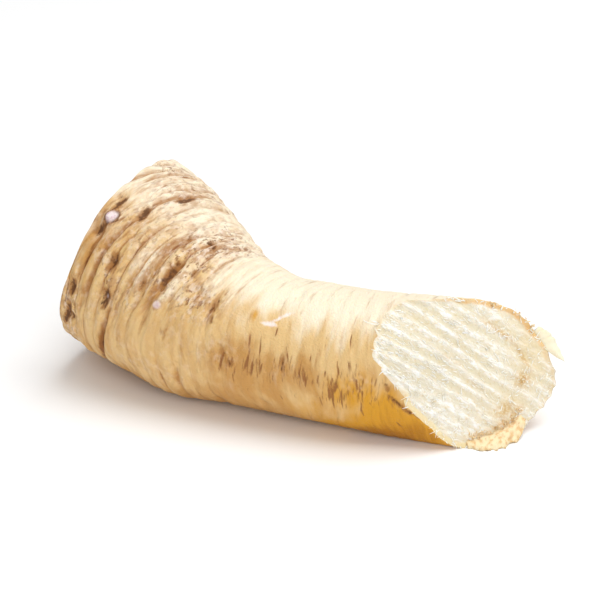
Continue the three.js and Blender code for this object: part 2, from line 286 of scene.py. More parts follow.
    def point(self, s: Array, angle: Array, height: Array | float = 0.0) -> Array:
        """Points of the skin: the round section's centre plus radius and height towards the angle.

        Args:
            s: Distances along the root.
            angle: Angles round it.
            height: Height over the round section.

        Returns:
            The points.
        """
        here = self.station(s)
        along = unit(self.station(s + NEAR)[..., :3] - self.station(s - NEAR)[..., :3])
        side = unit(np.cross(along, UP))
        a = np.radians(angle)[..., None]
        out = (here[..., 3] + height)[..., None]
        return here[..., :3] + out * (side * np.sin(a) + np.cross(side, along) * np.cos(a))

    def head_share(self, s: Array) -> Array:
        """1 on the rough head, 0 on the slim body."""
        return 1.0 - ease(s, self.head_ends, self.body_starts)

    def ring_phase(self, s: Array, angle: Array) -> Array:
        """Growth rings passed so far: distance over the pitch, plus slow sines of the angle.

        Args:
            s: Distances along the root.
            angle: Angles round it.

        Returns:
            The count with its fraction.
        """
        a = np.radians(angle)
        drift = 0.45 * np.sin(a + 0.6) + 0.25 * np.sin(2 * a + 1.9 + s / 17) + 0.12 * np.sin(5 * a + s / 7)
        return s / self.ring_pitch + drift

    def all_creases(self) -> list[tuple[float, ...]]:
        """The listed creases and the drawn ones, close together on the head and shallow on the body.

        Returns:
            Rows of distance, angle, half reach, depth, half width and drift.
        """
        drawn = drawn_rows(
            self.spare_creases, 1,
            (4, 134, 1.35), (-180, 360, 1), (14, 26, 1), (0.45, 0.5, 1), (0.85, 0.3, 1), (-3, 6, 1),
        )
        drawn[:, 3] *= 0.35 + 0.65 * self.head_share(drawn[:, 0])
        return [*self.creases, *map(tuple, drawn)]

    def all_scars(self) -> list[tuple[float, ...]]:
        """The listed scars and the drawn ones, pits and small warts, mostly on the head.

        Returns:
            Rows of distance, angle, height and half width.
        """
        at, around, kind, size, width = drawn_rows(
            self.spare_scars, 11, (6, 84, 1.2), (-180, 360, 1), (0, 1, 1), (0, 1, 1), (1.4, 1.1, 1),
        ).T
        height = np.where(kind < 0.7, -0.4 - 0.5 * size, 0.5 + 0.6 * size)
        return [*self.scars, *zip(at, around, height, width)]

    def line_mask(self, s: Array, angle: Array, row: tuple[float, ...], n: float) -> Array:
        """Where a crease or a mark runs: a bell across its wavy line, cut off past its reach.

        Args:
            s: Distances along the root.
            angle: Angles round it.
            row: Distance, angle, half reach, anything, half width and drift.
            n: The row's number, which shifts its waves.

        Returns:
            1 on the line, falling to 0 beside it and past its ends.
        """
        at, around, reach, _, width, drift = row
        off = turn(angle - around)
        line = at + drift * off / 90 + 0.5 * np.sin(off / 9 + n)
        return gauss((s - line) / width) * np.exp(-np.clip(off / reach, -3, 3) ** 4)

    def spot_mask(self, s: Array, angle: Array, radius: Array, row: tuple[float, ...]) -> Array:
        """Where a scar or bud is: a bell over the distance from its middle, 0.8 times as far round.

        Args:
            s: Distances along the root.
            angle: Angles round it.
            radius: The girth's radius there.
            row: Distance, angle, anything and half width.

        Returns:
            1 in the middle, falling to 0.
        """
        at, around, _, width = row
        across = radius * np.radians(turn(angle - around))
        return gauss(np.hypot(s - at, 0.8 * across) / width)

    def worn(self, angle: Array) -> Array:
        """Share of the relief left: almost none along the underside, which earth wore smooth."""
        return 1 - 0.9 * gauss(turn(angle - 180) / self.worn_angle)

    def furrow_height(self, run: Array, across: Array) -> Array:
        """The grated face over its plane: rounded furrows between sharp ridges, on a slight dome.

        A furrow is 1 less the 0.8th power of a sine over the lanes, which wander along their run.

        Args:
            run: Distances along the furrows.
            across: Distances across them.

        Returns:
            The height.
        """
        wave = np.sin(run / 9 + across / 6) + 0.6 * np.sin(run / 4.3 - across / 3.1 + 1)
        lane = (across + self.furrow_wander * wave) / self.furrow_pitch
        depth = self.furrow_depth * (0.75 + 0.25 * np.sin(2.3 * np.floor(lane) + run / 12))
        valley = 1 - np.abs(np.sin(np.pi * lane)) ** 0.8
        return depth * (valley - 0.5) + self.face_dome(run, across)

    def face_dome(self, run: Array, across: Array) -> Array:
        """The face without furrows: a slight dome less a bell where the grater's strokes start.

        Args:
            run: Distances along the furrows.
            across: Distances across them.

        Returns:
            The height.
        """
        at, over, fall, length, spread = self.worn_start
        start = gauss((run - at) / length) * gauss((across - over) / spread)
        return self.grated_dome * (0.5 - (run * run + across * across) / 700) - fall * start


@dataclass
class GratedPlane:
    """The plane of the grated face with its own directions.

    level points right, rise points up the face and out points away from the root; run goes along
    the furrows and over goes across them.
    """

    form: RootForm
    middle: Array = field(init=False)
    out: Array = field(init=False)
    level: Array = field(init=False)
    rise: Array = field(init=False)
    run: Array = field(init=False)
    over: Array = field(init=False)

    def __post_init__(self) -> None:
        """Works out the directions from the plane's yaw and pitch."""
        self.out = plane_normal(*self.form.grated_plane)
        self.middle = self.form.station(self.form.grated_at)[:3]
        self.level = unit(np.cross(UP, self.out))
        self.rise = np.cross(self.out, self.level)
        slope = math.radians(-self.form.furrow_slope)
        self.run = self.level * math.cos(slope) + self.rise * math.sin(slope)
        self.over = np.cross(self.out, self.run)

    def furrows(self, points: Array) -> Array:
        """How far the furrowed face stands over the plane at points near it."""
        away = points - self.middle
        return self.form.furrow_height(away @ self.run, away @ self.over)

    def place(self, level: Array, rise: Array, front: Array | float = 0.0) -> Array:
        """Points in the form's coordinates from distances on the plane.

        Args:
            level: Distances to the right.
            rise: Distances up the face.
            front: Distances out of it.

        Returns:
            The points.
        """
        level, rise, front = np.broadcast_arrays(level, rise, front)
        spread = level[..., None] * self.level + rise[..., None] * self.rise
        return self.middle + spread + front[..., None] * self.out

    @staticmethod
    def wildness(level: Array, rise: Array) -> Array:
        """Share of torn fuzz over furrows, 0 to 1: most of it low on the face and at its right."""
        return np.maximum(ease(-rise - 0.35 * level, 4, 14), 0.6 * ease(level + 0.2 * rise, 5, 15))


# Meshes.


@dataclass
class Faces:
    """Corners of faces as one flat list of vertex numbers, with how many corners each face has."""

    corners: Array
    sizes: Array

    @classmethod
    def between_poles(cls, rings: int, columns: int) -> "Faces":
        """Faces of rings of points between two poles: a fan, bands of four-cornered faces, a fan.

        Args:
            rings: Number of rings.
            columns: Points in each ring.

        Returns:
            The faces, where vertex 0 is the first pole and the last vertex is the other one.
        """
        c = np.arange(columns)
        after = (c + 1) % columns
        start = 1 + columns * np.arange(rings - 1)[:, None]
        band = np.stack([start + c, start + after, start + columns + after, start + columns + c], -1)
        first = np.stack([np.zeros_like(c), 1 + after, 1 + c], -1)
        last_ring = 1 + columns * (rings - 1)
        last = np.stack([np.full_like(c, last_ring + columns), last_ring + c, last_ring + after], -1)
        corners = np.concatenate([first.ravel(), band.ravel(), last.ravel()])
        return cls(corners, np.repeat([3, 4, 3], [columns, (rings - 1) * columns, columns]))

    @classmethod
    def of_strands(cls, strands: int, stations: int) -> "Faces":
        """Faces of many closed strands: four sides between their sections and a cap at either end.

        Args:
            strands: Number of strands.
            stations: Four-cornered sections along each one.

        Returns:
            The faces, for points laid out as strand, section, corner.
        """
        k = np.arange(4)
        after = (k + 1) % 4
        base = 4 * stations * np.arange(strands)[:, None]
        start = base[..., None] + 4 * np.arange(stations - 1)[:, None]
        sides = np.stack([start + after, start + k, start + 4 + k, start + 4 + after], -1)
        caps = np.stack([base + k, base + 4 * (stations - 1) + k[::-1]], 1)
        quads = np.concatenate([sides.reshape(-1, 4), caps.reshape(-1, 4)])
        return cls(quads.ravel(), np.full(len(quads), 4))


def make_piece(
    name: str, points: Array, faces: Faces, materials: list[Material],
    attributes: dict[str, Array] | None = None, regions: Array | None = None,
) -> bpy.types.Object:
    """Makes a closed smooth mesh from arrays, lets it ride on the root and reports it.

    Args:
        name: The piece's name.
        points: Vertices in millimetres in the form's coordinates.
        faces: Its faces, which point outwards.
        materials: Its materials, in the order of their slots.
        attributes: Vectors kept on the vertices for the materials.
        regions: The material slot of each face.

    Returns:
        The object, at the origin, with its place in its mesh.
    """
    spots = (points.reshape(-1, 3) + FRAME_SHIFT) * MM
    spots[:, 2] = np.maximum(spots[:, 2], 0.0)
    mesh = bpy.data.meshes.new(name)
    mesh.vertices.add(len(spots))
    mesh.loops.add(len(faces.corners))
    mesh.polygons.add(len(faces.sizes))
    mesh.vertices.foreach_set("co", spots.astype(np.float32).ravel())
    mesh.loops.foreach_set("vertex_index", faces.corners.astype(np.int32))
    starts = np.cumsum(faces.sizes) - faces.sizes
    mesh.polygons.foreach_set("loop_start", starts.astype(np.int32))
    if regions is not None:
        mesh.polygons.foreach_set("material_index", regions.astype(np.int32))
    for title, values in (attributes or {}).items():
        kept = mesh.attributes.new(title, "FLOAT_VECTOR", "POINT")
        kept.data.foreach_set("vector", values.astype(np.float32).ravel())
    mesh.update(calc_edges=True)
    mesh.shade_smooth()
    for material in materials:
        mesh.materials.append(material)
    made = bpy.data.objects.new(name, mesh)
    bpy.context.scene.collection.objects.link(made)
    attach(made, "root")
    LOG.info("%s: %d triangles", name, int((faces.sizes - 2).sum()))
    return made


# Finishes.


def hex_colour(code: str) -> tuple[float, float, float, float]:
    """Turns an sRGB colour to linear light: each channel to the power of about 2.4.

    Args:
        code: The colour, a # and six hex digits.

    Returns:
        Linear red, green and blue, and 1.
    """
    channels = [int(code[i:i + 2], 16) / 255 for i in (1, 3, 5)]
    linear = [c / 12.92 if c <= 0.04045 else ((c + 0.055) / 1.055) ** 2.4 for c in channels]
    return (*linear, 1.0)


def add_node(
    tree: Tree, kind: str, inputs: dict[str | int, Value] | None = None, **settings: object,
) -> bpy.types.Node:
    """Adds a node to a material.

    Args:
        tree: The material's nodes.
        kind: The node's type.
        inputs: What each socket is linked to, or its own value.
        settings: The node's properties.

    Returns:
        The node.
    """
    node = tree.nodes.new(kind)
    for title, value in settings.items():
        setattr(node, title, value)
    for title, value in (inputs or {}).items():
        if isinstance(value, Socket):
            tree.links.new(value, node.inputs[title])
        else:
            node.inputs[title].default_value = value
    return node


def new_material(name: str) -> Material:
    """Adds a material that has no nodes yet.

    Args:
        name: Its name.

    Returns:
        The material.
    """
    material = bpy.data.materials.new(name)
    material.use_nodes = True
    material.node_tree.nodes.clear()
    return material


def read_masks(tree: Tree, **vectors: str) -> dict[str, Socket]:
    """Splits vectors kept on the vertices into masks.

    Args:
        tree: The material's nodes.
        vectors: For each vector, the names of its three masks.

    Returns:
        The masks by name.
    """
    masks = {}
    for title, parts in vectors.items():
        kept = add_node(tree, "ShaderNodeAttribute", attribute_name=title)
        split = add_node(tree, "ShaderNodeSeparateXYZ", {0: kept.outputs["Vector"]})
        masks.update(zip(parts.split(), split.outputs))
    return masks


@dataclass(frozen=True)
class Streak:
    """A pattern of streaks or flecks: noise drawn out across the first axis and cut to a mask.

    Attributes:
        width: Its size along the first axis, in millimetres.
        stretch: How many times longer it is across.
        low: Level where the mask begins.
        high: Level where it is full.
        detail: Octaves of finer noise.
        offset: Shifts it, so that no two patterns agree.
        pull: How much of the mask below is added to the noise before it is cut, so that the
            pattern grows on it with a broken edge. At 0 the pattern fills the mask.
    """

    width: float
    stretch: float
    low: float
    high: float
    detail: float = 3.0
    offset: float = 0.0
    pull: float = 0.0

    def mask(self, tree: Tree, coords: Socket, below: Socket | None = None) -> Socket:
        """Adds the pattern to a material.

        Args:
            tree: The material's nodes.
            coords: Coordinates in millimetres.
            below: The mask that it fills or grows on.

        Returns:
            The mask, 0 to 1.
        """
        long = 1.0 / (self.width * self.stretch)
        place = add_node(tree, "ShaderNodeMapping", {
            "Vector": coords,
            "Location": (self.offset, self.offset * 0.7, -self.offset),
            "Scale": (1.0 / self.width, long, long),
        })
        level = add_node(tree, "ShaderNodeTexNoise", {
            "Vector": place.outputs[0], "Scale": 1.0, "Detail": self.detail, "Roughness": 0.55,
        })
        if self.pull:
            grown = {0: below, 1: self.pull, 2: level.outputs[0]}
            level = add_node(tree, "ShaderNodeMath", grown, operation="MULTIPLY_ADD")
        cut = add_node(tree, "ShaderNodeMapRange", {
            "Value": level.outputs[0], "From Min": self.low, "From Max": self.high,
        }, interpolation_type="SMOOTHSTEP")
        if below is not None and not self.pull:
            cut = add_node(tree, "ShaderNodeMath", {0: cut.outputs[0], 1: below}, operation="MULTIPLY")
        return cut.outputs[0]


@dataclass(frozen=True)
class Coat:
    """One colour laid over those below it.

    Attributes:
        colour: sRGB hex.
        share: How much of it shows where its mask is full.
        mask: The mask that it lies on; without one it lies all over.
        streak: The pattern that breaks it up.
    """

    colour: str
    share: float
    mask: str = ""
    streak: Streak | None = None


def lay_coats(
    tree: Tree, ground: str, coats: dict[str, Coat], masks: dict[str, Socket], coords: Socket,
) -> tuple[Socket, dict[str, Socket]]:
    """Lays colours over a ground one after another, each by its mask and its pattern.

    Args:
        tree: The material's nodes.
        ground: The lowest colour, sRGB hex.
        coats: Colours by name, lowest first.
        masks: The masks by name.
        coords: Coordinates in millimetres.

    Returns:
        The colour of the finished surface, and where each coat lies.
    """
    under: Value = hex_colour(ground)
    shown = {}
    for title, coat in coats.items():
        below = masks.get(coat.mask)
        shown[title] = coat.streak.mask(tree, coords, below) if coat.streak else below
        factors = {0: shown[title], 1: coat.share}
        share = add_node(tree, "ShaderNodeMath", factors, operation="MULTIPLY", use_clamp=True)
        colours = {0: share.outputs[0], 6: under, 7: hex_colour(coat.colour)}
        under = add_node(tree, "ShaderNodeMix", colours, data_type="RGBA").outputs[2]
    return under, shown


def close_surface(
    tree: Tree, height: Socket, strength: float, depth: float, reach: float, inputs: dict[str, Value],
) -> None:
    """Ends a material: a surface with a fine relief, which lets a little light in.

    Args:
        tree: The material's nodes.
        height: The relief.
        strength: How strongly it shows.
        depth: Its depth in millimetres.
        reach: How far light goes in, in millimetres.
        inputs: The surface's other sockets.
    """
    bump = add_node(tree, "ShaderNodeBump", {
        "Strength": strength, "Distance": depth * MM, "Height": height,
    })
    surface = add_node(tree, "ShaderNodeBsdfPrincipled", {
        **inputs, "Subsurface Scale": reach * MM, "Normal": bump.outputs[0],
    })
    add_node(tree, "ShaderNodeOutputMaterial", {"Surface": surface.outputs[0]})


def coats_of(finish: object) -> dict[str, Coat]:
    """A finish's coats by their names, lowest first."""
    return {title: value for title, value in vars(finish).items() if isinstance(value, Coat)}


@dataclass(frozen=True)
class SkinFinish:
    """Washed root skin, a thin dry cork: cream on top, golden in ring valleys, brown where earth stays.

    It is matt with a faint wax sheen. Soft streaks follow the rings, rough bands are pebbled with
    pale and brown crumbs, and scars are dark with a rusty edge broken into flecks. The cream on top
    is a painted highlight. The golden of the ring valleys and the brown low on the sides and
    underneath are partly painted shade. The darker amber underneath, the mauve on the buds and the
    rings round them are painted shade.
    """

    name: str = "washed_root_skin"
    straw: str = "#E5C186"
    # Partly painted shade, partly the grooves' own brown: golden in the valleys.
    golden: Coat = Coat("#D09A50", 0.8, "valley", Streak(2.0, 8.0, 0.42, 0.60, 3.0, 1.3))
    # Partly soil, partly painted shade: browner low on the sides, underneath and on the head's shoulder.
    soiled_and_shaded: Coat = Coat("#C69049", 0.85, "soil", Streak(5.0, 3.0, 0.57, 0.96, 3.0, 3.1, 0.5))
    # Painted highlight: cream along the top of the skin, with paler ridges on the head's flank.
    cream: Coat = Coat("#FBEFD5", 0.95, "pale", Streak(4.5, 3.5, 0.60, 1.15, 3.0, 7.7, 0.8))
    amber: Coat = Coat("#D79B26", 1.0, "amber", Streak(3.0, 4.0, 0.74, 1.6, 3.0, 6.1, 1.2))
    # Painted shade: a darker amber towards the underside near the cut.
    deep: Coat = Coat("#A56708", 0.75, "amber", Streak(1.3, 7.0, 1.38, 2.1, 4.0, 7.2, 1.0))
    blush: Coat = Coat("#E0B98E", 0.7, "blush", Streak(3.0, 2.4, 0.47, 0.62, 3.0, 8.3))
    # Partly painted shade, partly the grooves' own brown: darker in the ring grooves.
    ring: Coat = Coat("#AC763C", 0.85, "ring", Streak(1.8, 6.0, 0.54, 0.90, 3.0, 4.1, 0.7))
    mottle: Coat = Coat("#B88A62", 0.75, "rough", Streak(1.8, 2.4, 0.44, 0.62, 3.0, 5.2))
    pebble: Coat = Coat("#FBEBD8", 0.75, "rough", Streak(1.7, 1.8, 0.46, 0.70, 3.0, 6.6))
    crumb: Coat = Coat("#855530", 0.8, "crumbly", Streak(0.9, 2.2, 0.52, 0.66, 3.0, 4.6))
    line: Coat = Coat("#8E582C", 0.85, "brown", Streak(0.7, 9.0, 0.80, 1.12, 2.0, 5.9, 0.9))
    halo: Coat = Coat("#A0682F", 0.8, "dark", Streak(1.4, 3.2, 0.58, 1.0, 4.0, 2.2, 0.6))
    dark: Coat = Coat("#5A3519", 0.85, "dark", Streak(0.8, 2.6, 0.82, 1.08, 4.0, 9.4, 0.6))
    bud: Coat = Coat("#F1E1DF", 0.95, "bud")
    # Painted shade: mauve on the buds.
    mauve: Coat = Coat("#BE98A6", 0.7, "bud", Streak(1.6, 1.2, 0.46, 0.62, 2.0, 1.7))
    peeled: Coat = Coat("#FBEDE6", 0.9, "peeled", Streak(1.2, 2.0, 0.64, 1.1, 3.0, 2.9, 0.75))
    pores: Streak = Streak(0.55, 1.4, 0.35, 0.7, 4.0, 8.1)
    roughness: float = 0.55
    bump_mm: float = 0.22

    def material(self) -> Material:
        """Makes the material.

        Returns:
            The material, which reads the vectors straight, marks, tints, tone and bands.
        """
        material = new_material(self.name)
        tree = material.node_tree
        coords = add_node(tree, "ShaderNodeAttribute", attribute_name="straight").outputs["Vector"]
        masks = read_masks(
            tree, marks="valley brown dark", tints="bud peeled amber", tone="rough pale soil",
            bands="ring blush crumbly",
        )
        colour, shown = lay_coats(tree, self.straw, coats_of(self), masks, coords)
        rougher = add_node(tree, "ShaderNodeMapRange", {
            "Value": masks["rough"], "To Min": self.roughness, "To Max": self.roughness + 0.2,
        })
        pores = self.pores.mask(tree, coords)
        raised = add_node(tree, "ShaderNodeMath", {0: shown["pebble"], 1: pores}, operation="ADD")
        lined = {0: raised.outputs[0], 1: shown["line"]}
        relief = add_node(tree, "ShaderNodeMath", lined, operation="SUBTRACT")
        close_surface(tree, relief.outputs[0], 0.6, self.bump_mm, 1.2, {
            "Base Color": colour, "Roughness": rougher.outputs[0], "IOR": 1.36,
            "Subsurface Weight": 0.08, "Subsurface Radius": (1.0, 0.55, 0.25),
        })
        return material

    def recoloured(self, name: str, straw: str, **coats: tuple[str, float]) -> "SkinFinish":
        """The same skin in other colours.

        Args:
            name: The new material's name.
            straw: Its ground.
            coats: Another colour and share for some of its coats, by name.

        Returns:
            The finish.
        """
        changed = {
            title: replace(getattr(self, title), colour=colour, share=share)
            for title, (colour, share) in coats.items()
        }
        return replace(self, name=name, straw=straw, **changed)


@dataclass(frozen=True)
class FleshFinish:
    """Raw horseradish flesh, torn by a grater: ivory, wet inside and fibrous.

    It glows softly, is whiter on the torn ridges and creamier in the furrows, with tan flecks and a
    tan line where the outer layer meets the core. The white of the ridges is a painted highlight and
    the cream of the furrows is painted shade.
    """

    name: str = "grated_flesh"
    ivory: str = "#EFE8D8"
    # Painted shade: creamier in the furrows.
    furrow: Coat = Coat("#E2D5B2", 0.75, "furrow")
    # Painted highlight: whiter on the ridges.
    ridge: Coat = Coat("#FFFFFC", 0.7, "furrow", Streak(0.8, 4.0, 0.42, 0.60, 3.0, 2.7, -0.2))
    fleck: Coat = Coat("#DDC998", 0.5, "", Streak(0.9, 1.3, 0.56, 0.66, 3.0, 6.4))
    yellow: Coat = Coat("#E6CF9C", 0.65, "yellow")
    tan: Coat = Coat("#CDA157", 0.9, "tan", Streak(0.8, 1.4, 0.36, 0.56, 3.0, 1.9))
    bevel: Coat = Coat("#F0DBA6", 0.85, "bevel")
    rim: Coat = Coat("#EEC482", 0.85, "rim")
    burr: Coat = Coat("#DDAE70", 0.8, "burr", Streak(1.2, 1.2, 0.3, 0.55, 3.0, 8.8))
    fuzz: Streak = Streak(0.6, 2.2, 0.25, 0.75, 5.0, 4.3)
    bump_mm: float = 0.35

    def material(self) -> Material:
        """Makes the material.

        Returns:
            The material, which reads the vectors face, stains and edges.
        """
        material = new_material(self.name)
        tree = material.node_tree
        face = add_node(tree, "ShaderNodeAttribute", attribute_name="face").outputs["Vector"]
        masks = read_masks(tree, stains="yellow tan burr", edges="furrow rim bevel")
        turned = add_node(tree, "ShaderNodeMapping", {"Vector": face, "Rotation": (0.0, 0.0, math.pi / 2)})
        colour, _ = lay_coats(tree, self.ivory, coats_of(self), masks, turned.outputs[0])
        close_surface(tree, self.fuzz.mask(tree, turned.outputs[0]), 0.7, self.bump_mm, 1.5, {
            "Base Color": colour, "Roughness": 0.55, "IOR": 1.4,
            "Subsurface Weight": 0.2, "Subsurface Radius": (1.0, 0.75, 0.5),
        })
        return material


@dataclass(frozen=True)
class ShredFinish:
    """Thin torn flesh or rind: pale, slightly see-through to light, clouded by a soft noise.

    Attributes:
        name: The material's name.
        pale: Its main colour.
        deep: Its clouds, on Object coordinates.
        fuzz: The pattern of its relief.
        bump_mm: The relief's depth in millimetres.
    """

    name: str
    pale: str
    deep: Coat
    fuzz: Streak = Streak(0.5, 2.0, 0.3, 0.7, 3.0, 3.3)
    bump_mm: float = 0.12

    def material(self) -> Material:
        """Makes the material.

        Returns:
            The material, on Object coordinates turned to millimetres.
        """
        material = new_material(self.name)
        tree = material.node_tree
        place = add_node(tree, "ShaderNodeTexCoord").outputs["Object"]
        grown = add_node(tree, "ShaderNodeMapping", {"Vector": place, "Scale": (1 / MM, 1 / MM, 1 / MM)})
        coords = grown.outputs[0]
        colour, _ = lay_coats(tree, self.pale, coats_of(self), {}, coords)
        close_surface(tree, self.fuzz.mask(tree, coords), 0.5, self.bump_mm, 1.0, {
            "Base Color": colour, "Roughness": 0.5, "IOR": 1.4,
            "Subsurface Weight": 0.3, "Subsurface Radius": (1.0, 0.8, 0.6),
        })
        return material


# The root itself.


@dataclass
class RootBody:
    """The crown, the skin and the grated face as one closed surface of rings between two poles.

    Mark rows are distance, angle, half reach in degrees, strength, half width and drift for each
    90 degrees. Patch rows are distance, angle, length, spread in degrees and strength. Stain rows
    are level, rise, half length, half height, turn in degrees and strength on the grated face.
    Stroke spots are distance, angle, half length and spread in degrees of a cluster of short brown
    strokes. Buds are distance, angle, strength and half width.
    """

    form: RootForm
    plane: GratedPlane
    columns: int = 228
    crowded_at: float = 60.0
    crowding: float = 0.4
    skin_rows: int = 372
    face_rows: int = 42
    crown_rows: int = 20
    fine_creases: int = 300
    dashes: int = 90
    strokes: int = 210
    scar_depth: float = 0.35
    line_depth: float = 0.15
    # Shares of the skin's length where the fine relief is full after the crown and starts to fade
    # before the cut.
    full_from: float = 0.02
    fades_from: float = 0.985
    stroke_spots: Rows = (
        (68.5, 88, 3.5, 11), (76.5, 86, 3.0, 10), (86.5, 82, 4.0, 12), (93.5, 86, 3.5, 10),
        (101.5, 88, 3.0, 11), (109.5, 86, 4.5, 15), (105.5, 96, 4.0, 12), (113.5, 99, 3.0, 14),
    )
    # The first mark is a painted shadow: a dark crescent below the largest bud.
    marks: Rows = (
        (15.4, 43.6, 6, 1.0, 1.6, -30), (13.2, 28, 7, 0.9, 1.7, 2), (18.6, 36, 9, 0.55, 1.1, -12),
        (12.4, 40, 8, 0.5, 1.2, 0), (11.2, 43, 3, 0.5, 0.8, 6), (23.8, 23, 6.5, 1.0, 1.8, 8),
        (22.6, 9, 10, 0.5, 0.7, 3), (25.2, -7, 10, 0.95, 1.8, 0), (23.0, -28, 12, 0.5, 0.6, 11),
        (23.3, 48, 17, 0.5, 0.65, -10), (20.0, 80, 6, 0.4, 0.8, 0), (16.8, 53, 10, 0.5, 0.6, -3),
        (26.7, 57, 6.5, 0.95, 1.7, 0), (28.5, 79, 7, 1.0, 1.7, 0), (14.6, 83, 6, 1.0, 1.4, 3),
        (13.7, 102, 12, 1.0, 1.6, -13), (28.8, 108, 20, 0.75, 0.8, -9), (50.0, 85, 5, 0.45, 1.2, 15),
        (39.8, 15, 14, 0.6, 0.8, 14), (40.0, 46, 16, 0.5, 0.6, -9), (43.4, 46, 13, 0.9, 1.1, -5),
        (38.0, 61, 4, 0.6, 1.0, 0), (44.4, 20, 3.5, 0.7, 0.8, 0), (45.2, 6.5, 3.5, 0.85, 0.9, 0),
        (48.0, 9, 3, 0.9, 0.8, 0), (50.5, -8, 4, 0.45, 0.6, 0), (49.0, -32, 4, 0.35, 0.5, 0),
        (49.0, 19, 3, 0.6, 0.8, 0), (49.0, 35.5, 3, 0.75, 0.8, 0), (45.2, 35, 3, 0.7, 0.8, 0),
        (44.5, -12, 4, 0.4, 0.6, 0), (42.2, 3.5, 3, 0.45, 0.6, 0), (45.0, 54, 3, 0.5, 0.7, 0),
        (52.2, 55, 3.5, 0.55, 0.8, 0), (54.2, 49, 3.5, 0.6, 0.8, 0), (60.2, 52.5, 5, 0.7, 0.8, -2),
        (61.5, 47.5, 4, 0.65, 0.7, 4), (62.0, 60.5, 4, 0.65, 0.8, 0), (62.0, 38, 5, 0.5, 0.7, 0),
        (67.6, 83, 8, 0.55, 0.9, 10), (69.5, 89, 4, 0.7, 1.1, 0), (12.5, 3, 4, 0.35, 1.0, 0),
        (16.8, -2, 4, 0.42, 0.8, 0), (6.5, -24, 5, 0.42, 1.0, 0), (11.5, -27, 6, 0.42, 1.0, 0),
        (57.3, -6, 6, 0.38, 0.8, -6), (85.3, 80, 8, 0.75, 0.7, 2), (101.0, 87, 7, 0.65, 0.6, 12),
        (119.6, 90, 6, 0.68, 1.0, 12), (118.4, 84, 5, 0.5, 0.6, 4), (122.6, 107, 11, 0.78, 1.3, 25),
        (125.2, 116, 7, 0.75, 1.3, 26), (128.0, 123, 5, 0.6, 0.9, 25), (120.2, 106, 7, 0.5, 0.7, 22),
        (98.8, 28.5, 1.2, 0.5, 0.4, 0), (21, -88, 7, 0.8, 1.2, 4), (33, -70, 9, 0.6, 0.9, -3),
        (44, -104, 8, 0.75, 1.0, 0), (30, 158, 9, 0.6, 1.0, 0), (12, -140, 8, 0.7, 1.1, 0),
        (62, -84, 6, 0.6, 0.8, 0), (52, -128, 8, 0.7, 0.9, 0), (88, -98, 8, 0.6, 0.6, 6),
        (112, -104, 8, 0.6, 0.6, -4),
    )
    drawn_lines: Rows = (
        (31.3, 42, 18, 0.4, 0.8, -8), (74.1, 68, 10, 0.6, 0.4, 0), (77.7, 74, 15, 0.65, 0.45, 2.5),
        (81.8, 57, 6.5, 0.55, 0.4, 0), (94.8, 49.5, 8, 0.4, 0.35, -5), (99.2, 56, 9, 0.5, 0.4, 2.5),
        (106.8, 50, 8, 0.6, 0.4, 0), (103.2, 71, 5, 0.5, 0.35, 0), (94.2, 70, 4, 0.5, 0.35, 0),
        (87.5, 77, 9, 0.7, 0.5, 15), (92.2, 76, 9, 0.6, 0.45, 3), (121.9, 105, 18, 0.5, 0.45, 8.5),
        (111.2, 90, 14, 0.75, 0.5, 3), (109.7, 87, 7, 0.8, 0.5, 4), (106.1, 70, 5, 0.6, 0.4, 2),
        (107.1, 55, 4, 0.5, 0.4, 0), (108.8, 59, 3, 0.4, 0.8, 0), (115.1, 108, 5, 0.6, 0.5, 21),
        (122.9, 132, 6, 0.55, 0.5, 15), (107.8, 70, 6, 0.5, 0.4, 0), (109.1, 71, 4, 0.5, 0.4, 0),
        (112.5, 75, 6, 0.5, 0.4, -5), (108.7, -7, 4, 0.35, 0.5, -30), (100.9, 11, 5, 0.3, 0.4, -23),
    )
    rough_patches: Rows = (
        (46, 6, 6, 26, 1.0), (52, -14, 6, 14, 0.6), (32, 12, 5, 20, 0.4), (47, 34, 7, 20, 1.0),
        (55, 52, 8, 14, 0.8), (44, 50, 5, 14, 0.8), (25, -8, 5, 22, 0.55), (16, -12, 8, 26, 0.4),
        (10, -20, 7, 22, 0.4), (27, 62, 4, 10, 0.6), (14, 96, 4, 16, 0.6), (66, 82, 5, 12, 0.4),
        (111, 86, 5, 12, 0.3), (86, 82, 5, 10, 0.25), (20, -90, 14, 50, 0.6), (52, -110, 12, 40, 0.5),
        (40, 170, 14, 30, 0.4),
    )
    peeled_strips: Rows = (
        (46.4, 11, 3, 0.3, 0.9, 0), (49.6, 4, 2.5, 0.3, 0.9, 0), (53.0, 28, 3, 0.3, 0.8, 10),
        (82.0, 42.5, 8, 0.62, 1.2, -34),
    )
    peeled_patches: Rows = (
        (77.4, 50.8, 1.7, 1.7, 0.9), (80.0, 50.0, 2.2, 2.3, 1.0), (75.0, 32.0, 1.0, 2.0, 0.5),
    )
    amber_patches: Rows = (
        (134, 128, 20, 30, 1.0), (119, 118, 14, 34, 1.0), (110, 98, 12, 25, 0.85), (112, 146, 18, 26, 0.9),
        (96, 122, 16, 24, 0.45), (73.6, 46, 1.5, 7, 0.66), (85.2, 19, 1.2, 4, 0.3),
    )
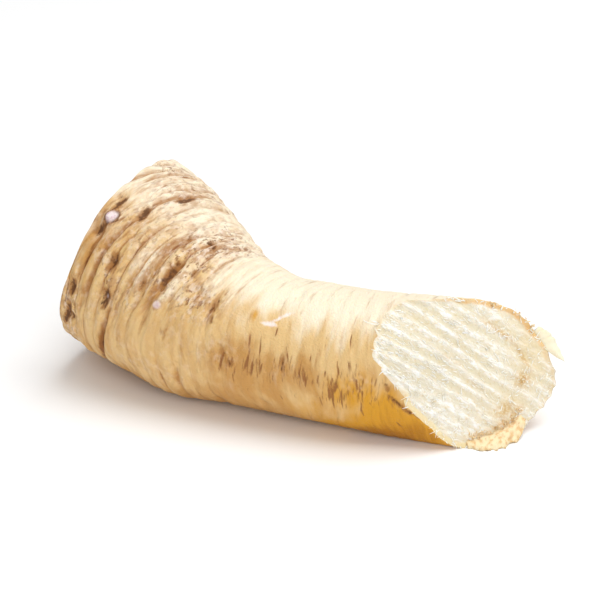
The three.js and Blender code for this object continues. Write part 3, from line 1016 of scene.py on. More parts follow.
    # Painted shade: where the amber turns darker towards the underside.
    deep_patches: Rows = (
        (121, 153, 18, 22, 1.0), (104, 150, 14, 18, 0.5),
    )
    buds: Rows = (
        (16.2, 36.6, 1.0, 2.4), (28.6, 77, 0.4, 0.8), (45.5, 66, 0.7, 1.4), (16.0, -70, 0.9, 1.7),
        (33.5, -112, 0.8, 1.5),
    )
    yellow_stains: Rows = (
        (25, 3, 8, 14, 0, 0.95), (14, -14, 9, 6, 0, 0.7), (20, 14, 8, 8, 0, 0.4), (6, -22, 14, 3, 6, 0.6),
    )
    tan_stains: Rows = (
        (14.5, 10.5, 6.5, 0.9, -42, 0.9), (21.2, 1.6, 5.5, 0.9, -64, 0.9), (10.5, 14.6, 3, 1.1, -20, 0.6),
        (20.4, -6.1, 3.2, 2.6, 0, 1.0), (12.6, -14.7, 4.2, 2.8, 20, 0.8), (-6, 6, 5, 0.8, -39, 0.35),
        (2, -4, 6, 0.8, -39, 0.3),
    )
    burrs: Rows = (
        (12.3, 20.9, 2.0, 1.7, -20, 1.0), (26.2, 10.0, 3.0, 1.6, -50, 1.0),
        (21.9, 15.0, 5.0, 1.2, -42, 0.8), (3.5, -20.8, 5.5, 0.8, 2, 0.8), (11.5, -19.2, 4.5, 1.2, 12, 1.0),
        (17.2, -16.4, 2.8, 1.2, 30, 0.9), (-22.4, -3.4, 2.4, 0.7, -50, 0.5),
    )

    def angles(self) -> Array:
        """Angles of the columns: an even turn less a sine of it, so that they crowd on one side."""
        u = 2 * math.pi * np.arange(self.columns) / self.columns
        return np.degrees(u - self.crowding * np.sin(u - math.radians(self.crowded_at)))

    def meet(self, angle: Array, point: Array, normal: Array, guess: float, furrowed: bool) -> Array:
        """Distance at which each line of skin meets a trimming plane, by Newton steps.

        Args:
            angle: Angles of the lines.
            point: A point of the plane.
            normal: Its normal.
            guess: Distance to start from.
            furrowed: Whether the surface is the furrowed face and the skin has its relief.

        Returns:
            The distances.
        """
        s = np.full(angle.shape, guess)
        for _ in range(MEETING_STEPS):
            here = self.form.point(s, angle)
            rate = (self.form.point(s + NEAR, angle) - here) @ normal / NEAR
            if furrowed:
                here = self.form.point(s, angle, self.relief(s, angle)[0])
            miss = (here - point) @ normal - (self.plane.furrows(here) if furrowed else 0.0)
            s = s - np.clip(miss / rate, -LONGEST_STEP, LONGEST_STEP) * (0.8 if furrowed else 1.0)
        return s

    def relief(self, s: Array, angle: Array) -> tuple[Array, Array]:
        """The solid's relief: rings, creases and scars, worn underneath, on broad swellings.

        Args:
            s: Distances along the root.
            angle: Angles round it.

        Returns:
            The height over the round section, and how deep the grooves are, 0 to 1.
        """
        form = self.form
        radius, head = form.radius(s), form.head_share(s)
        ridge = np.abs(np.sin(np.pi * form.ring_phase(s, angle))) ** 0.7
        strength = 0.62 + 0.38 * np.sin(3 * np.radians(angle) + s / 11 + 2)
        height = (form.ring_body + (form.ring_head - form.ring_body) * head) * (ridge - 0.65) * strength
        groove = ease(1 - ridge, 0.5, 0.95) * strength * (0.12 + 0.75 * head)
        for n, row in enumerate(form.all_creases()):
            mask = form.line_mask(s, angle, row, n)
            height = height - row[3] * mask
            groove = np.maximum(groove, mask * min(1.0, 0.8 * row[3]))
        for row in form.all_scars():
            height = height + row[2] * form.spot_mask(s, angle, radius, row)
        worn = form.worn(angle)
        height = height * worn
        for at, around, swell, length, spread in form.swellings:
            height = height + swell * gauss((s - at) / length) * gauss(turn(angle - around) / spread)
        return height, groove * worn

    def patch(self, s: Array, angle: Array, rows: Rows) -> Array:
        """The strongest of some soft oval patches, each a bell along the root and round it.

        Args:
            s: Distances along the root.
            angle: Angles round it.
            rows: Patch rows.

        Returns:
            The mask.
        """
        return strongest(
            strength * (gauss((s - at) / length) * gauss(turn(angle - around) / spread))
            for at, around, length, spread, strength in rows
        )

    def line_group(self, s: Array, angle: Array, rows: Rows | Array, in_step: bool = False) -> Array:
        """The strongest of some wavy marks round the root.

        Args:
            s: Distances along the root.
            angle: Angles round it.
            rows: Mark rows.
            in_step: Whether marks side by side share their waves, so that they never cross.

        Returns:
            The mask.
        """
        return strongest(
            row[3] * self.form.line_mask(s, angle, tuple(row), row[1] / 9 if in_step else n)
            for n, row in enumerate(rows)
        )

    def stain(self, level: Array, rise: Array, rows: Rows) -> Array:
        """The strongest of some turned oval stains on the grated face, each a bell.

        Args:
            level: Distances to the right on the face.
            rise: Distances up it.
            rows: Stain rows.

        Returns:
            The mask.
        """
        return strongest(
            strength
            * gauss(((level - x) * math.cos(a) + (rise - y) * math.sin(a)) / long)
            * gauss(((rise - y) * math.cos(a) - (level - x) * math.sin(a)) / high)
            for x, y, long, high, a, strength in ((*row[:4], math.radians(row[4]), row[5]) for row in rows)
        )

    def roughness(self, s: Array, angle: Array) -> Array:
        """How pebbled the skin is: its rough patches over a cloudy roughness of the head.

        Args:
            s: Distances along the root.
            angle: Angles round it.

        Returns:
            The mask, 0 to 1.
        """
        cloud = 0.5 + 0.5 * grain(self.straight(s, angle) * (0.13, 0.1, 0.1), 12)
        return np.clip(
            self.patch(s, angle, self.rough_patches) + self.form.head_share(s) * 0.75 * cloud**1.5, 0, 1,
        )

    def straight(self, s: Array, angle: Array) -> Array:
        """Skin coordinates in millimetres, the first following the rings, so that streaks do too.

        Args:
            s: Distances along the root.
            angle: Angles round it.

        Returns:
            The coordinates, as (..., 3).
        """
        rings = self.form.ring_phase(s, angle) * self.form.ring_pitch
        radius, a = self.form.radius(s), np.radians(angle)
        return np.stack([rings, radius * np.cos(a), radius * np.sin(a)], -1)

    def scarred_and_shaded(self, s: Array, angle: Array) -> Array:
        """How dark the marks, the pits and the rings round the buds are.

        Args:
            s: Distances along the root.
            angle: Angles round it.

        Returns:
            The mask, 0 to 1.
        """
        spot, radius = functools.partial(self.form.spot_mask, s, angle), self.form.radius(s)
        return strongest([
            self.line_group(s, angle, self.marks),
            # Pits are dark; the pit below the largest bud is darkened as its painted shadow.
            *(
                min(0.9, max(0.0, -row[2]) / 1.4) * spot(radius * 1.1, row) ** 1.5
                for row in self.form.scars
            ),
            # Painted shade: a dark ring round each bud.
            *(0.85 * row[2] ** 2 * ease(spot(radius, row), 0.04, 0.5) for row in self.buds),
        ])

    def fine_relief(self, s: Array, angle: Array, rough: Array, dark: Array) -> tuple[Array, Array]:
        """Wrinkles finer than the solid's: short creases, dashes, pebbled noise, sunken scars.

        Args:
            s: Distances along the root.
            angle: Angles round it.
            rough: How pebbled the skin is.
            dark: How dark its scars are, with the painted shade round the buds.

        Returns:
            Their height, and the mask of the brown lines in them.
        """
        form = self.form
        head = form.head_share(s)
        height = np.zeros(np.shape(s))
        for tall, scale, seed in (
            (0.3 * head, (0.2, 0.11, 0.11), 1),
            (0.05 + 0.14 * head, (0.62, 0.3, 0.3), 2),
            (0.02 + 0.04 * head, (1.1, 0.7, 0.7), 3),
            (0.42 * rough, (0.75, 0.5, 0.5), 4),
        ):
            height = height + tall * grain(self.straight(s, angle) * scale, seed)
        height = height - self.scar_depth * ease(dark, 0.3, 0.9)
        rows = drawn_rows(
            self.fine_creases, 21,
            (-4, 150, 1.15), (-180, 360, 1), (5, 17, 1), (0.1, 0.25, 1), (0.42, 0.35, 1), (-4, 8, 1),
        )
        rows[:, 3] *= 0.3 + 0.7 * form.head_share(rows[:, 0])
        lines = np.zeros(np.shape(s))
        for i, row in enumerate(rows):
            mask = form.line_mask(s, angle, tuple(row), i)
            height = height - row[3] * mask
            lines = np.maximum(lines, mask * (0.1 + 1.2 * row[3]) * draw(i, 27))
        dashes = drawn_rows(
            self.dashes, 31,
            (60, 60, 0.8), (56, 58, 1), (2.5, 5, 1), (0.4, 0.6, 1), (0.3, 0.15, 1), (-2, 10, 1),
        )
        dashes[:, 3] *= 0.25 + 0.5 * draw(np.arange(self.dashes), 32)
        n = np.arange(self.strokes)
        at, around, long, wide = np.array(self.stroke_spots)[n % len(self.stroke_spots)].T
        at = at + 1.7 * long * (draw(n, 71) + draw(n, 72) - 1)
        around = around + wide * (draw(n, 73) + draw(n, 74) - 1)
        strokes = drawn_rows(self.strokes, 75, (4, 9, 2), (0.3, 0.6, 2), (0.26, 0.12, 1), (1, -2.5, 1))
        brown = strongest([
            self.line_group(s, angle, dashes),
            self.line_group(s, angle, self.drawn_lines),
            self.line_group(s, angle, np.column_stack([at, around, strokes]), in_step=True),
        ])
        height = height - self.line_depth * brown
        return height * form.worn(angle), np.maximum(lines, brown)

    def skin_masks(
        self, s: Array, angle: Array, groove: Array, lines: Array, rough: Array, dark: Array,
        to_cut: Array,
    ) -> dict[str, Array]:
        """What the skin's finish reads at each vertex.

        Args:
            s: Distances along the root.
            angle: Angles round it.
            groove: Depth of the grooves, 0 to 1.
            lines: The mask of the brown lines.
            rough: How pebbled the skin is.
            dark: How dark its scars are, with the painted shade round the buds.
            to_cut: Distance left to the grated rim.

        Returns:
            The vectors straight, marks, tints, tone and bands.
        """
        radius, head = self.form.radius(s), self.form.head_share(s)
        side = np.abs(turn(angle))
        straight = self.straight(s, angle)
        patchy = 0.5 + 0.5 * grain(straight * (0.16, 0.07, 0.07), 11)
        bud = strongest(
            row[2] * ease(self.form.spot_mask(s, angle, radius, row), 0.42, 0.8) for row in self.buds
        )
        at_cut = gauss(to_cut / 1.1)
        amber = self.patch(s, angle, self.amber_patches) * (1 - 0.4 * at_cut)
        # The skin's top is painted lighter as a painted highlight: the pale mask is strong there, and the
        # valleys and brown marks are fainter.
        top = gauss(turn(angle - 2 + 14 * head) / (41 - head - 4 * ease(s, 95, 115)))
        # The valley, the ring and part of the brown darken the grooves: partly painted shade, partly their
        # own brown.
        valley = np.clip(0.1 + head * (0.25 + 0.35 * patchy) + 0.6 * groove, 0, 1) * (1 - 0.55 * top)
        stained = 0.95 * lines + groove * np.clip(1.7 * patchy - 0.5, 0, 1)
        brown = np.clip(stained, 0, 1) * (1 - 0.5 * head * top)
        flank = ease(side, 25, 45) * (1 - ease(side, 50, 74))
        # Pale: the painted highlight along the top, a little cream at the cut, and paler ridges on the
        # head's flank.
        pale = (1.15 - 0.2 * head) * top + 0.1 * at_cut + 0.55 * head * (1 - groove) * (1 - patchy) * flank
        peeled = np.maximum(
            self.line_group(s, angle, self.peeled_strips), self.patch(s, angle, self.peeled_patches),
        )
        ring = np.clip(groove * (0.3 + 0.9 * patchy) * (0.25 + 0.75 * head), 0, 1)
        blush = np.clip(head * (0.15 + 0.42 * gauss(turn(angle + 5) / 35)), 0, 1)
        shoulder = ease(side, 12, 45) * (1 - 0.75 * ease(side, 52, 76))
        # Partly soil, partly painted shade: browner low on the sides, underneath and on the head's
        # shoulder.
        soil = strongest([
            0.95 * ease(side, 56, 90) * ease(s, 48, 76) * (1 - 0.5 * ease(s, 98, 110)),
            ease(side, 112, 150),
            0.75 * head * gauss((s - 14) / 13) * shoulder,
        ])
        return {
            "straight": straight,
            "marks": np.stack([valley * (1 - 0.4 * amber), brown, dark], -1),
            "tints": np.stack([bud, peeled, amber + self.patch(s, angle, self.deep_patches)], -1),
            "tone": np.stack([rough, np.clip(pale, 0, 1), soil * (1 - amber) * (1 - at_cut)], -1),
            "bands": np.stack([ring * (1 - amber), blush, np.clip(1.3 * rough - 0.2, 0, 1)], -1),
        }

    def crown(self, starts: Array, angle: Array, rim: Array) -> dict[str, Array]:
        """The trimmed leaf crown: a low dome with rings of leaf scars, their lobes, and short buds.

        Args:
            starts: Distance of the crown's rim at each angle.
            angle: The angles.
            rim: The rim's points.

        Returns:
            Its points from the middle outwards, without the rim, and the finish's vectors.
        """
        form = self.form
        middle = rim.mean(0)
        reach = np.linalg.norm(rim - middle, axis=-1)
        share = (np.arange(1, self.crown_rows) / self.crown_rows)[:, None]
        a = np.radians(angle)
        lobes = share * (0.25 * np.sin(3 * a) + 0.2 * np.sin(2 * a + 1))
        scars = np.abs(np.sin(np.pi * (share * form.leaf_scar_rings + lobes))) ** 0.7
        height = form.crown_dome * (1 - share**2) + form.leaf_scar_height * (scars - 0.6) * (1 - share**8)
        bells = []
        for at, around, tall, width in form.crown_buds:
            b = math.radians(around)
            gap = np.hypot(share * np.cos(a) - at * math.cos(b), share * np.sin(a) - at * math.sin(b))
            bells.append(gauss(reach * gap / width))
            height = height + tall * bells[-1]
        flat = middle + share[..., None] * (rim - middle)
        height = height + 0.25 * (1 - share**8) * grain(flat * 0.7, 5) + 0.1 * grain(flat * 1.6, 6)
        radius = form.radius(starts)
        # The leaf scars' valleys take the skin's golden and brown: partly painted shade, partly their own
        # brown.
        valley = ease(1 - scars, 0.45, 0.95)
        patchy = 0.5 + 0.5 * grain(flat * 0.22, 7)
        bud = strongest(ease(bell, 0.4, 0.85) for bell in bells)
        columns = {
            "straight": (starts - (1 - share) * reach, radius * np.cos(a), radius * np.sin(a)),
            "marks": (0.5 + 0.5 * valley, valley, 0.8 * valley * patchy),
            "tints": (0.8 * bud, 0.0, 0.0),
            "tone": (0.5 + 0.4 * patchy, 0.3, 0.5 * patchy),
            "bands": (valley, patchy, 0.6 * patchy),
        }
        vectors = {title: np.stack(np.broadcast_arrays(*parts), -1) for title, parts in columns.items()}
        return {"points": flat - height[..., None] * plane_normal(*form.crown_plane), **vectors}

    def grated_face(self, rim: Array) -> dict[str, Array]:
        """The grated face: lines of points from the rim to its middle, raised by furrows and fuzz.

        Args:
            rim: The rim's points.

        Returns:
            Its points from the rim inwards, without the rim, and the finish's vectors with it.
        """
        plane = self.plane
        flat_rim = rim - ((rim - plane.middle) @ plane.out)[:, None] * plane.out
        middle = flat_rim.mean(0)
        share = 1 - (np.arange(0, self.face_rows) / self.face_rows) ** 1.15
        flat = middle + share[:, None, None] * (flat_rim - middle)
        inset = (1 - share)[:, None] * np.linalg.norm(flat_rim - middle, axis=-1)
        away = flat - plane.middle
        run, over = away @ plane.run, away @ plane.over
        level, rise = away @ plane.level, away @ plane.rise
        furrow, dome = self.form.furrow_height(run, over), self.form.face_dome(run, over)
        lined = np.stack([run, over, 0 * run], -1)
        wild = plane.wildness(level, rise)
        fuzz = 0.3 * grain(lined * (0.5, 1.1, 1.0), 21) + 0.22 * grain(lined * (0.9, 1.8, 1.0), 22)
        tufts = 0.45 * np.maximum(0.0, grain(lined * (0.45, 0.6, 1.0), 23)) ** 1.5
        bevel = ease(-(0.75 * level + 0.66 * rise), 9, 15) * (1 - ease(inset, 1.5, 2.7))
        inner = ease(inset, 0.0, 1.6) * (1 - bevel)
        worn = 0.05 + 0.3 * grain(lined * (0.07, 0.12, 1.0), 25) + 0.4 * wild
        worn = np.maximum(worn * ease(inset, 0, 2), bevel * ease(inset, 0, 0.7))
        height = dome + (furrow - dome) * (1 - np.clip(worn, 0, 1))
        height = height + inner * ((0.35 + 0.65 * wild) * fuzz + (0.2 + 1.3 * wild) * tufts)
        height = height - 0.25 * gauss((inset - 1.6) / 0.9) * ease(inset, 0, 0.8) * (1 - bevel)
        # Where the furrows take their painted shade and the ridges their painted highlight.
        valley = ease(dome - furrow, -0.2, 0.45) * (1 - 0.6 * wild) * (1 - bevel)
        ragged = 0.35 * grain(np.stack([level, rise, 0 * rise], -1) * 0.8, 24)
        torn = (0.25 + 0.75 * ease(level + 0.4 * rise, -4, 16)) * (0.3 + 0.7 * ease(rise, -2, 5))
        wide = 1.1 * ease(level + 0.8 * rise, 12, 22)
        edge = torn * (1 - ease(inset, 0.2 + wide + ragged, 1.0 + wide + ragged))
        groups = (self.yellow_stains, self.tan_stains, self.burrs)
        return {
            "points": (flat + height[..., None] * plane.out)[1:],
            "middle": middle,
            "face": lined,
            "edges": np.stack([valley, edge, bevel * ease(-rise, -2, 6)], -1),
            "stains": np.stack([self.stain(level, rise, rows) for rows in groups], -1),
        }

    def build(self, materials: list[Material]) -> Array:
        """Joins the crown, the skin and the grated face, ring by ring, into one mesh.

        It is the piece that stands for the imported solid.

        Args:
            materials: The finishes of the crown, the skin and the flesh.

        Returns:
            Points of the solid's grated rim, where the torn pieces start.
        """
        form, plane = self.form, self.plane
        angle = self.angles()
        crown_middle = form.station(form.crown_at)[:3]
        starts = self.meet(angle, crown_middle, plane_normal(*form.crown_plane), form.crown_at, False)
        ends = self.meet(angle, plane.middle, plane.out, form.grated_at, True)
        u = np.linspace(0, 1, self.skin_rows)[:, None]
        s = starts + (ends - starts) * u
        around = np.broadcast_to(angle, s.shape)
        height, groove = self.relief(s, around)
        rough, dark = self.roughness(s, around), self.scarred_and_shaded(s, around)
        fine, lines = self.fine_relief(s, around, rough, dark)
        fade = ease(u, 0, self.full_from) * (1 - ease(u, self.fades_from, 1.0))
        skin = form.point(s, around, height + fine * fade)
        masks = self.skin_masks(s, around, groove, lines, rough, dark, ends - s)
        top = self.crown(starts, angle, skin[0])
        cut = self.grated_face(skin[-1])
        pole = plane.place(*((cut["middle"] - plane.middle) @ np.stack([plane.level, plane.rise], -1)))
        pole = pole + plane.furrows(pole) * plane.out
        points = np.concatenate([top["points"], skin, cut["points"]]).reshape(-1, 3)
        vertices = np.concatenate([top["points"][:1].mean(1), points, pole[None]])
        on_crown, on_face = self.crown_rows - 1, self.face_rows - 1
        attributes = {}
        for title, values in masks.items():
            attributes[title] = self.with_poles(top[title], values, np.repeat(values[-1:], on_face, 0))
        for title in ("face", "edges", "stains"):
            blank = np.repeat(cut[title][:1], on_crown + self.skin_rows - 1, 0)
            attributes[title] = self.with_poles(blank, cut[title])
        parts = [part.value for part in RootPart]
        bands = [on_crown + 1, self.skin_rows - 1, on_face + 1]
        regions = np.repeat(parts, self.columns * np.array(bands))
        faces = Faces.between_poles(on_crown + self.skin_rows + on_face, self.columns)
        made = make_piece("root_body", vertices, faces, materials, attributes, regions)
        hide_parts(NODE)
        return form.point(ends, angle, self.relief(ends, angle)[0])

    @staticmethod
    def with_poles(*parts: Array) -> Array:
        """Vectors of all rings, with the first and the last ring's means for the poles."""
        rings = np.concatenate(parts)
        return np.concatenate([rings[:1].mean(1), rings.reshape(-1, 3), rings[-1:].mean(1)])


@dataclass
class TornStrip:
    """A strip of rind torn loose at the grated rim, bent, thin at its free edge.

    Attributes:
        name: The piece's name.
        rows: The strip's inner and outer edge at each station, as level, rise and front.
        thick: Thickness at the root in millimetres.
        thin: Thickness at the free edge.
        arch: How high it bulges between its edges.
        fray: How far the free edge wanders.
        crumple: Height of its crumbs.
        seed: Which noise frays it.
        stations: Sections along it.
        across: Points across each of its two faces.
    """

    name: str
    rows: tuple[Rows, ...]
    thick: float = 0.9
    thin: float = 0.3
    arch: float = 0.8
    fray: float = 0.8
    crumple: float = 0.0
    seed: int = 31
    stations: int = 40
    across: int = 12

    def build(self, plane: GratedPlane, material: Material) -> None:
        """Makes the strip: its edges follow cubics through the rows, and its two faces stand apart.

        Args:
            plane: The grated plane that the rows are measured on.
            material: Its finish.
        """
        rows = np.array(self.rows)
        last = len(rows) - 1
        t = np.linspace(0, last, self.stations)
        i = np.clip(t.astype(int), 0, last - 1)
        u = (t - i)[:, None, None]
        before, start, finish, after = (rows[np.clip(i + k, 0, last)] for k in (-1, 0, 1, 2))
        bent = start * 2 + (finish - before) * u + (2 * before - 5 * start + 4 * finish - after) * u**2
        bent = (bent + (3 * start - before - 3 * finish + after) * u**3) / 2
        v = np.linspace(0, 1, self.across)[None, :, None]
        line = np.arange(self.stations)[:, None, None] * 0.55
        wander = grain(np.concatenate([line, 0 * line, 0 * line], -1), self.seed)[..., None]
        inner, outer = bent[:, :1], bent[:, 1:]
        reach = v * (1 + self.fray * wander * v / np.linalg.norm(outer - inner, axis=-1, keepdims=True))
        sheet = inner + (outer - inner) * reach
        sheet[..., 2] += self.arch * np.sin(np.pi * v[..., 0]) ** 1.5 + 0.25 * wander[..., 0] * v[..., 0]
        sheet[..., 2] += self.crumple * (grain(sheet * 0.8, 38) + 0.6 * grain(sheet * 1.7, 39))
        half = (self.thick + (self.thin - self.thick) * v[..., 0]) / 2
        half = half * (1 + 0.25 * grain(sheet * 0.9, self.seed + 1))
        front, back = sheet.copy(), sheet[:, ::-1].copy()
        front[..., 2] += half
        back[..., 2] -= half[:, ::-1]
        rings = np.concatenate([front, back], 1)[:, ::-1]
        flat = np.concatenate([rings[:1].mean(1), rings.reshape(-1, 3), rings[-1:].mean(1)])
        faces = Faces.between_poles(self.stations, 2 * self.across)
        make_piece(self.name, plane.place(*flat.T), faces, [material])


@dataclass
class Shreds:
    """Fine strands torn up by the grater, lying on the face and standing at its rim.

    Each strand is a flat ribbon with a four-cornered section that narrows to its tip.

    Attributes:
        form: The root's form.
        plane: The grated plane.
        name: The piece's name.
        slot: Name of a material slot; not used.
        on_face: Strands spread over the face.
        at_rim: Strands along the torn rim.
        stations: Sections along each strand.
        curl: Degrees through which strands turn, half of it to either side.
        roll: Degrees through which they are rolled, likewise.
        taper: Share of the width that is gone at the tip.
        buried: How deep a strand starts in the flesh, in millimetres.
        clusters: Level, rise, spread and number of strands in each cluster.
        placed: Level, rise, heading, length, width and lift of listed strands.
    """

    form: RootForm
    plane: GratedPlane
    name: str = "grated_shreds"
    slot: str = "grated_flesh"
    on_face: int = 760
    at_rim: int = 50
    stations: int = 6
    curl: float = 70.0
    roll: float = 80.0
    taper: float = 0.88
    buried: float = 0.5
    clusters: Rows = ()
    placed: Rows = (
        (-27.0, 20.5, 176, 7.0, 0.55, 1.2), (-27.5, 21.2, 160, 3.4, 0.45, 1.0),
        (-5.0, 23.6, 166, 7.5, 0.6, 1.2), (2.0, 23.2, 158, 5.0, 0.5, 0.9),
        (22.4, -17.2, -70, 2.8, 0.5, 1.0), (23.0, -17.8, -35, 2.2, 0.4, 0.7),
        (-27.6, 6.4, 196, 3.2, 0.45, 0.8), (-21.6, 3.0, 205, 2.6, 0.4, 0.7),
    )

    def ribbons(self, rows: Array) -> Array:
        """Points of ribbons that start on the face and lift off it towards their tips.

        The middle line goes length times t along the heading, which turns a little, and rises by
        lift times t squared; the half width falls from width to a tenth of it.

        Args:
            rows: Each one's level and rise on the face, its heading in degrees from level towards
                rise, length, half width at the start, and height of the tip over the face.

        Returns:
            Points as strand, section, corner.
        """
        level, rise, heading, length, width, lift = rows.T[..., None]
        n = np.arange(len(rows))[:, None]
        t = np.linspace(0, 1, self.stations)
        bend = np.radians(heading + self.curl * (draw(n, 51) - 0.5) * t)[:, 1:]
        step = length / (self.stations - 1)
        x = level + np.concatenate([0 * step, np.cumsum(step * np.cos(bend), 1)], 1)
        y = rise + np.concatenate([0 * step, np.cumsum(step * np.sin(bend), 1)], 1)
        base = self.plane.furrows(self.plane.place(x, y))
        sunk = base.min(1, keepdims=True) * 0.35 + base * 0.65
        front = sunk + 0.12 + lift * t**2 * (0.6 + 0.4 * draw(n, 52))
        front = front - self.buried * (t == 0)
        line = self.plane.place(x, y, front)
        ahead = unit(np.gradient(line, axis=1))
        side = unit(np.cross(ahead, self.plane.out))
        above = np.cross(side, ahead)
        roll = np.radians(self.roll * (draw(n, 53) - 0.5))[..., None]
        side, above = side * np.cos(roll) + above * np.sin(roll), above * np.cos(roll) - side * np.sin(roll)
        half = (width * (1 - self.taper * t**1.6))[..., None]
        thick = 0.3 * half + 0.03
        corners = [side * half + above * thick, above * thick - side * half,
                   -side * half - above * thick, side * half - above * thick]
        return line[:, :, None] + np.stack(corners, 2)

    def build(self, rim: Array, material: Material) -> None:
        """Draws the strands and makes them one piece.

        Args:
            rim: Points of the grated rim.
            material: Their finish.
        """
        away = rim - self.plane.middle
        edge = np.stack([away @ self.plane.level, away @ self.plane.rise], -1)
        middle = edge.mean(0)
        n = np.arange(self.on_face)
        spoke = (draw(n, 41) * len(edge)).astype(int)
        spot = middle + (edge[spoke] - middle) * (0.97 * np.sqrt(draw(n, 42)))[:, None]
        wild = self.plane.wildness(*spot.T)
        heading = -self.form.furrow_slope + 180 * (draw(n, 43) > 0.5)
        heading = heading + (draw(n, 44) - 0.5) * (50 + 230 * wild)
        lift = 0.08 + (0.3 + 0.8 * wild) * draw(n, 47) ** 2.5
        m = np.arange(self.at_rim)
        torn = np.flatnonzero((edge[:, 0] + 0.4 * edge[:, 1] > 4) | (edge[:, 1] < -17))
        spoke = torn[(draw(m, 61) * len(torn)).astype(int)]
        start = middle + (edge[spoke] - middle) * (0.955 + 0.03 * draw(m, 62))[:, None]
        outward = np.degrees(np.arctan2(*(edge[spoke] - middle)[:, ::-1].T))
        placed = np.array(self.placed).reshape(-1, 6) * (1, 1, 1, 1, 0.6, 1)
        near = np.repeat(np.reshape(self.clusters, (-1, 4)), [int(row[3]) for row in self.clusters], 0)
        k = np.arange(len(near))
        around = near[:, 2] * np.sqrt(draw(k, 81))
        side = 2 * math.pi * draw(k, 82)
        rows = np.concatenate([
            np.column_stack([
                spot, heading, drawn_rows(self.on_face, 45, (1.2, 2.4, 1.6), (0.12, 0.16, 1)), lift,
            ]),
            np.column_stack([
                start, outward + 150 * (draw(m, 63) - 0.5),
                drawn_rows(self.at_rim, 64, (0.9, 1.7, 2), (0.12, 0.16, 1), (0.1, 0.9, 1)),
            ]),
            placed,
            np.column_stack([
                near[:, 0] + around * np.cos(side), near[:, 1] + around * np.sin(side),
                drawn_rows(len(near), 83, (0, 360, 1), (0.6, 1.1, 1), (0.16, 0.2, 1), (0.3, 0.7, 1)),
            ]),
        ])
        faces = Faces.of_strands(len(rows), self.stations)
        make_piece(self.name, self.ribbons(rows), faces, [material])


# The studio.


@dataclass
class Studio:
    """A pale floor, soft lights and the camera at the photograph's angle.

    Attributes:
        target: The point that the camera looks at, in millimetres in the form's coordinates.
        azimuth: Degrees that the camera stands round the root from -Y towards +X.
        elevation: Degrees that it stands over the floor.
        distance: Millimetres from it to the target.
        seen_width: Width in millimetres that its frame covers at the target.
        sensor: Width of its sensor in millimetres.
        surround: Strength of the white surround.
        floor_half: Half the floor's width in metres.
    """

    target: tuple[float, float, float] = (0.0, 0.0, 42.0)
    azimuth: float = 22.0
    elevation: float = 24.0
    distance: float = 700.0
    seen_width: float = 195.6
    sensor: float = 36.0
    surround: float = 0.48
    floor_half: float = 4.0

    def aim(self, item: bpy.types.Object, azimuth: float, elevation: float, distance: float) -> None:
        """Places an object at a distance from the target and turns it to face it.

        Args:
            item: The camera or light.
            azimuth: Its azimuth.
            elevation: Its elevation.
            distance: Millimetres to the target.
        """
        a, e = math.radians(azimuth), math.radians(elevation)
        back = Vector((math.sin(a) * math.cos(e), -math.cos(a) * math.cos(e), math.sin(e)))
        item.location = Vector((np.array(self.target) + FRAME_SHIFT) * MM) + back * distance * MM
        item.rotation_euler = (-back).to_track_quat("-Z", "Y").to_euler()
        bpy.context.scene.collection.objects.link(item)

    def camera(self) -> None:
        """Adds the camera: its lens is the sensor's width times distance over the width seen."""
        data = bpy.data.cameras.new("camera")
        data.sensor_width = self.sensor
        data.lens = self.sensor * self.distance / self.seen_width
        data.clip_end = 5 * self.floor_half
        camera = bpy.data.objects.new("camera", data)
        self.aim(camera, self.azimuth, self.elevation, self.distance)
        bpy.context.scene.camera = camera

    def lights(self) -> None:
        """Adds an even white surround, a large light overhead and behind, and a fill in front."""
        world = bpy.data.worlds.new("white_surround")
        world.use_nodes = True
        world.node_tree.nodes.clear()
        white = {"Color": hex_colour("#FFFFFF"), "Strength": self.surround}
        sky = add_node(world.node_tree, "ShaderNodeBackground", white)
        add_node(world.node_tree, "ShaderNodeOutputWorld", {"Surface": sky.outputs[0]})
        bpy.context.scene.world = world
        # Name, azimuth, elevation, distance and width in millimetres, and power in watts.
        for name, azimuth, elevation, distance, width, watts in (
            ("overhead", 112, 72, 1800, 1600, 25.0),
            ("front_fill", 34, 28, 1500, 750, 6.2),
        ):
            data = bpy.data.lights.new(name, "AREA")
            data.size = width * MM
            data.energy = watts
            self.aim(bpy.data.objects.new(name, data), azimuth, elevation, distance)
        bpy.context.scene.view_settings.view_transform = "Standard"

    def floor(self) -> None:
        """Adds a plain matt white floor, which isn't part of the root."""
        half = self.floor_half
        mesh = bpy.data.meshes.new("floor")
        corners = [(-half, -half, 0), (half, -half, 0), (half, half, 0), (-half, half, 0)]
        mesh.from_pydata(corners, [], [(0, 1, 2, 3)])
        # Matt white paint: it takes the soft shadow and has no gleam of its own.
        material = new_material("matt_white_floor")
        white = {"Base Color": hex_colour("#FDFDFD"), "Roughness": 0.9}
        paint = add_node(material.node_tree, "ShaderNodeBsdfPrincipled", white)
        add_node(material.node_tree, "ShaderNodeOutputMaterial", {"Surface": paint.outputs[0]})
        mesh.materials.append(material)
        floor = bpy.data.objects.new("floor", mesh)
        bpy.context.scene.collection.objects.link(floor)


# The torn pieces' places on the grated plane, in millimetres.

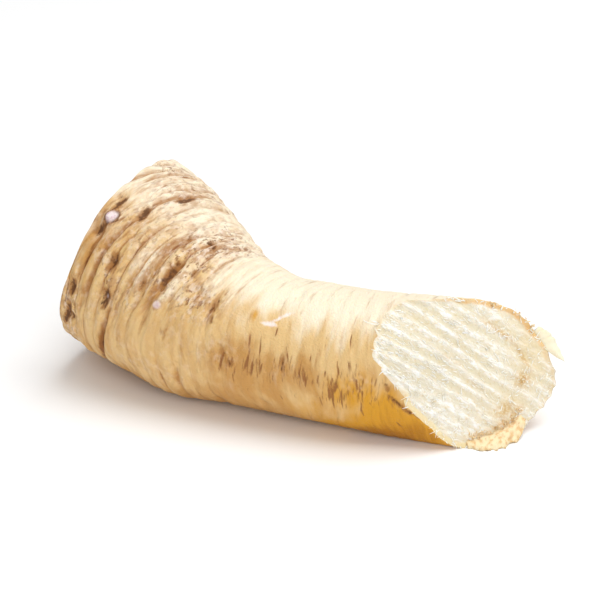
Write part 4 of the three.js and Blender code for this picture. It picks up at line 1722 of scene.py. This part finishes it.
SIDE_FLAP = TornStrip("side_flap", (
    ((26.2, 8.2, -3.2), (29.4, 10.0, -1.6)),
    ((27.0, 6.2, -3.2), (32.2, 7.5, -1.2)),
    ((28.2, 4.2, -2.8), (34.2, 4.5, -0.8)),
    ((30.8, 1.8, -1.4), (35.4, 1.0, -0.3)),
    ((34.4, -1.6, -0.2), (36.4, -3.0, 0.2)),
), fray=0.25)
LOWER_LIP = TornStrip("lower_lip", (
    ((17.5, -16.6, -1.8), (20.2, -19.6, 0.2)),
    ((13.4, -19.2, -1.5), (15.8, -24.4, 1.9)),
    ((8.0, -20.9, -1.4), (8.8, -25.7, 4.6)),
    ((2.5, -21.5, -1.4), (3.2, -25.8, 3.9)),
    ((-2.6, -21.6, -1.7), (-2.4, -25.0, 0.9)),
), fray=0.6, crumple=0.4, seed=37)
RIM_SPOTS = (
    (12.4, 20.8, 0.8, 7), (22.2, 15.6, 0.7, 4), (24.4, 13.0, 0.6, 3), (26.2, 10.2, 0.8, 6),
    (-1.0, -21.2, 1.0, 8), (2.0, -21.2, 1.1, 14), (5.0, -21.0, 1.2, 22), (8.5, -20.6, 1.3, 30),
    (12.0, -19.6, 1.3, 30), (15.2, -17.8, 1.2, 20), (17.8, -15.8, 1.0, 10), (20.4, -6.1, 1.4, 8),
)


def main() -> None:
    """Builds the root and its studio and reports each piece."""
    logging.basicConfig(level=logging.INFO, format="%(name)s %(message)s")
    studio = Studio()
    studio.camera()
    studio.lights()
    studio.floor()
    form = RootForm()
    plane = GratedPlane(form)
    # Trimmed leaf bases: browner and duller than the skin, with greenish buds.
    crown = SkinFinish().recoloured(
        "trimmed_leaf_crown", "#D9B47C", golden=("#C2955C", 0.6), line=("#A87B4A", 0.5),
        halo=("#A87B4A", 0.6), dark=("#6E4A2A", 0.7), bud=("#DDE0B4", 0.9), pebble=("#E6D2AC", 0.5),
    )
    rim = RootBody(form, plane).build([crown.material(), SkinFinish().material(), FleshFinish().material()])
    # A thin flap of rind: nearly white, as light comes through it.
    flap_clouds = Coat("#EDDFB8", 0.4, "", Streak(3.0, 1.4, 0.45, 0.65, 2.0, 5.0))
    SIDE_FLAP.build(plane, ShredFinish("thin_rind_flap", "#EDE5CC", flap_clouds).material())
    # Torn rind: cream, with the tan of its outside showing in flecks.
    rind_clouds = Coat("#D6A464", 0.7, "", Streak(1.3, 1.5, 0.43, 0.64, 4.0, 1.0))
    LOWER_LIP.build(plane, ShredFinish("torn_rind", "#F1DDB4", rind_clouds).material())
    # Torn fibres of flesh: whiter than the face, wet and half clear.
    fibre_clouds = Coat("#F3E8CB", 0.5, "", Streak(3.0, 1.2, 0.45, 0.6, 2.0, 2.0))
    fibre = ShredFinish("torn_flesh_fibre", "#FFFBEF", fibre_clouds).material()
    Shreds(form, plane).build(rim, fibre)
    # Crumbs of rind: tan and dry, so that the rim reads as broken.
    crumb_clouds = Coat("#CF9A5C", 0.8, "", Streak(0.9, 1.2, 0.44, 0.62, 2.0, 4.0))
    crumb = ShredFinish("rind_crumb", "#F0D6A8", crumb_clouds).material()
    Shreds(form, plane, "rim_crumbs", "root_skin", 0, 0, clusters=RIM_SPOTS, placed=()).build(rim, crumb)


if __name__ == "__main__":
    main()
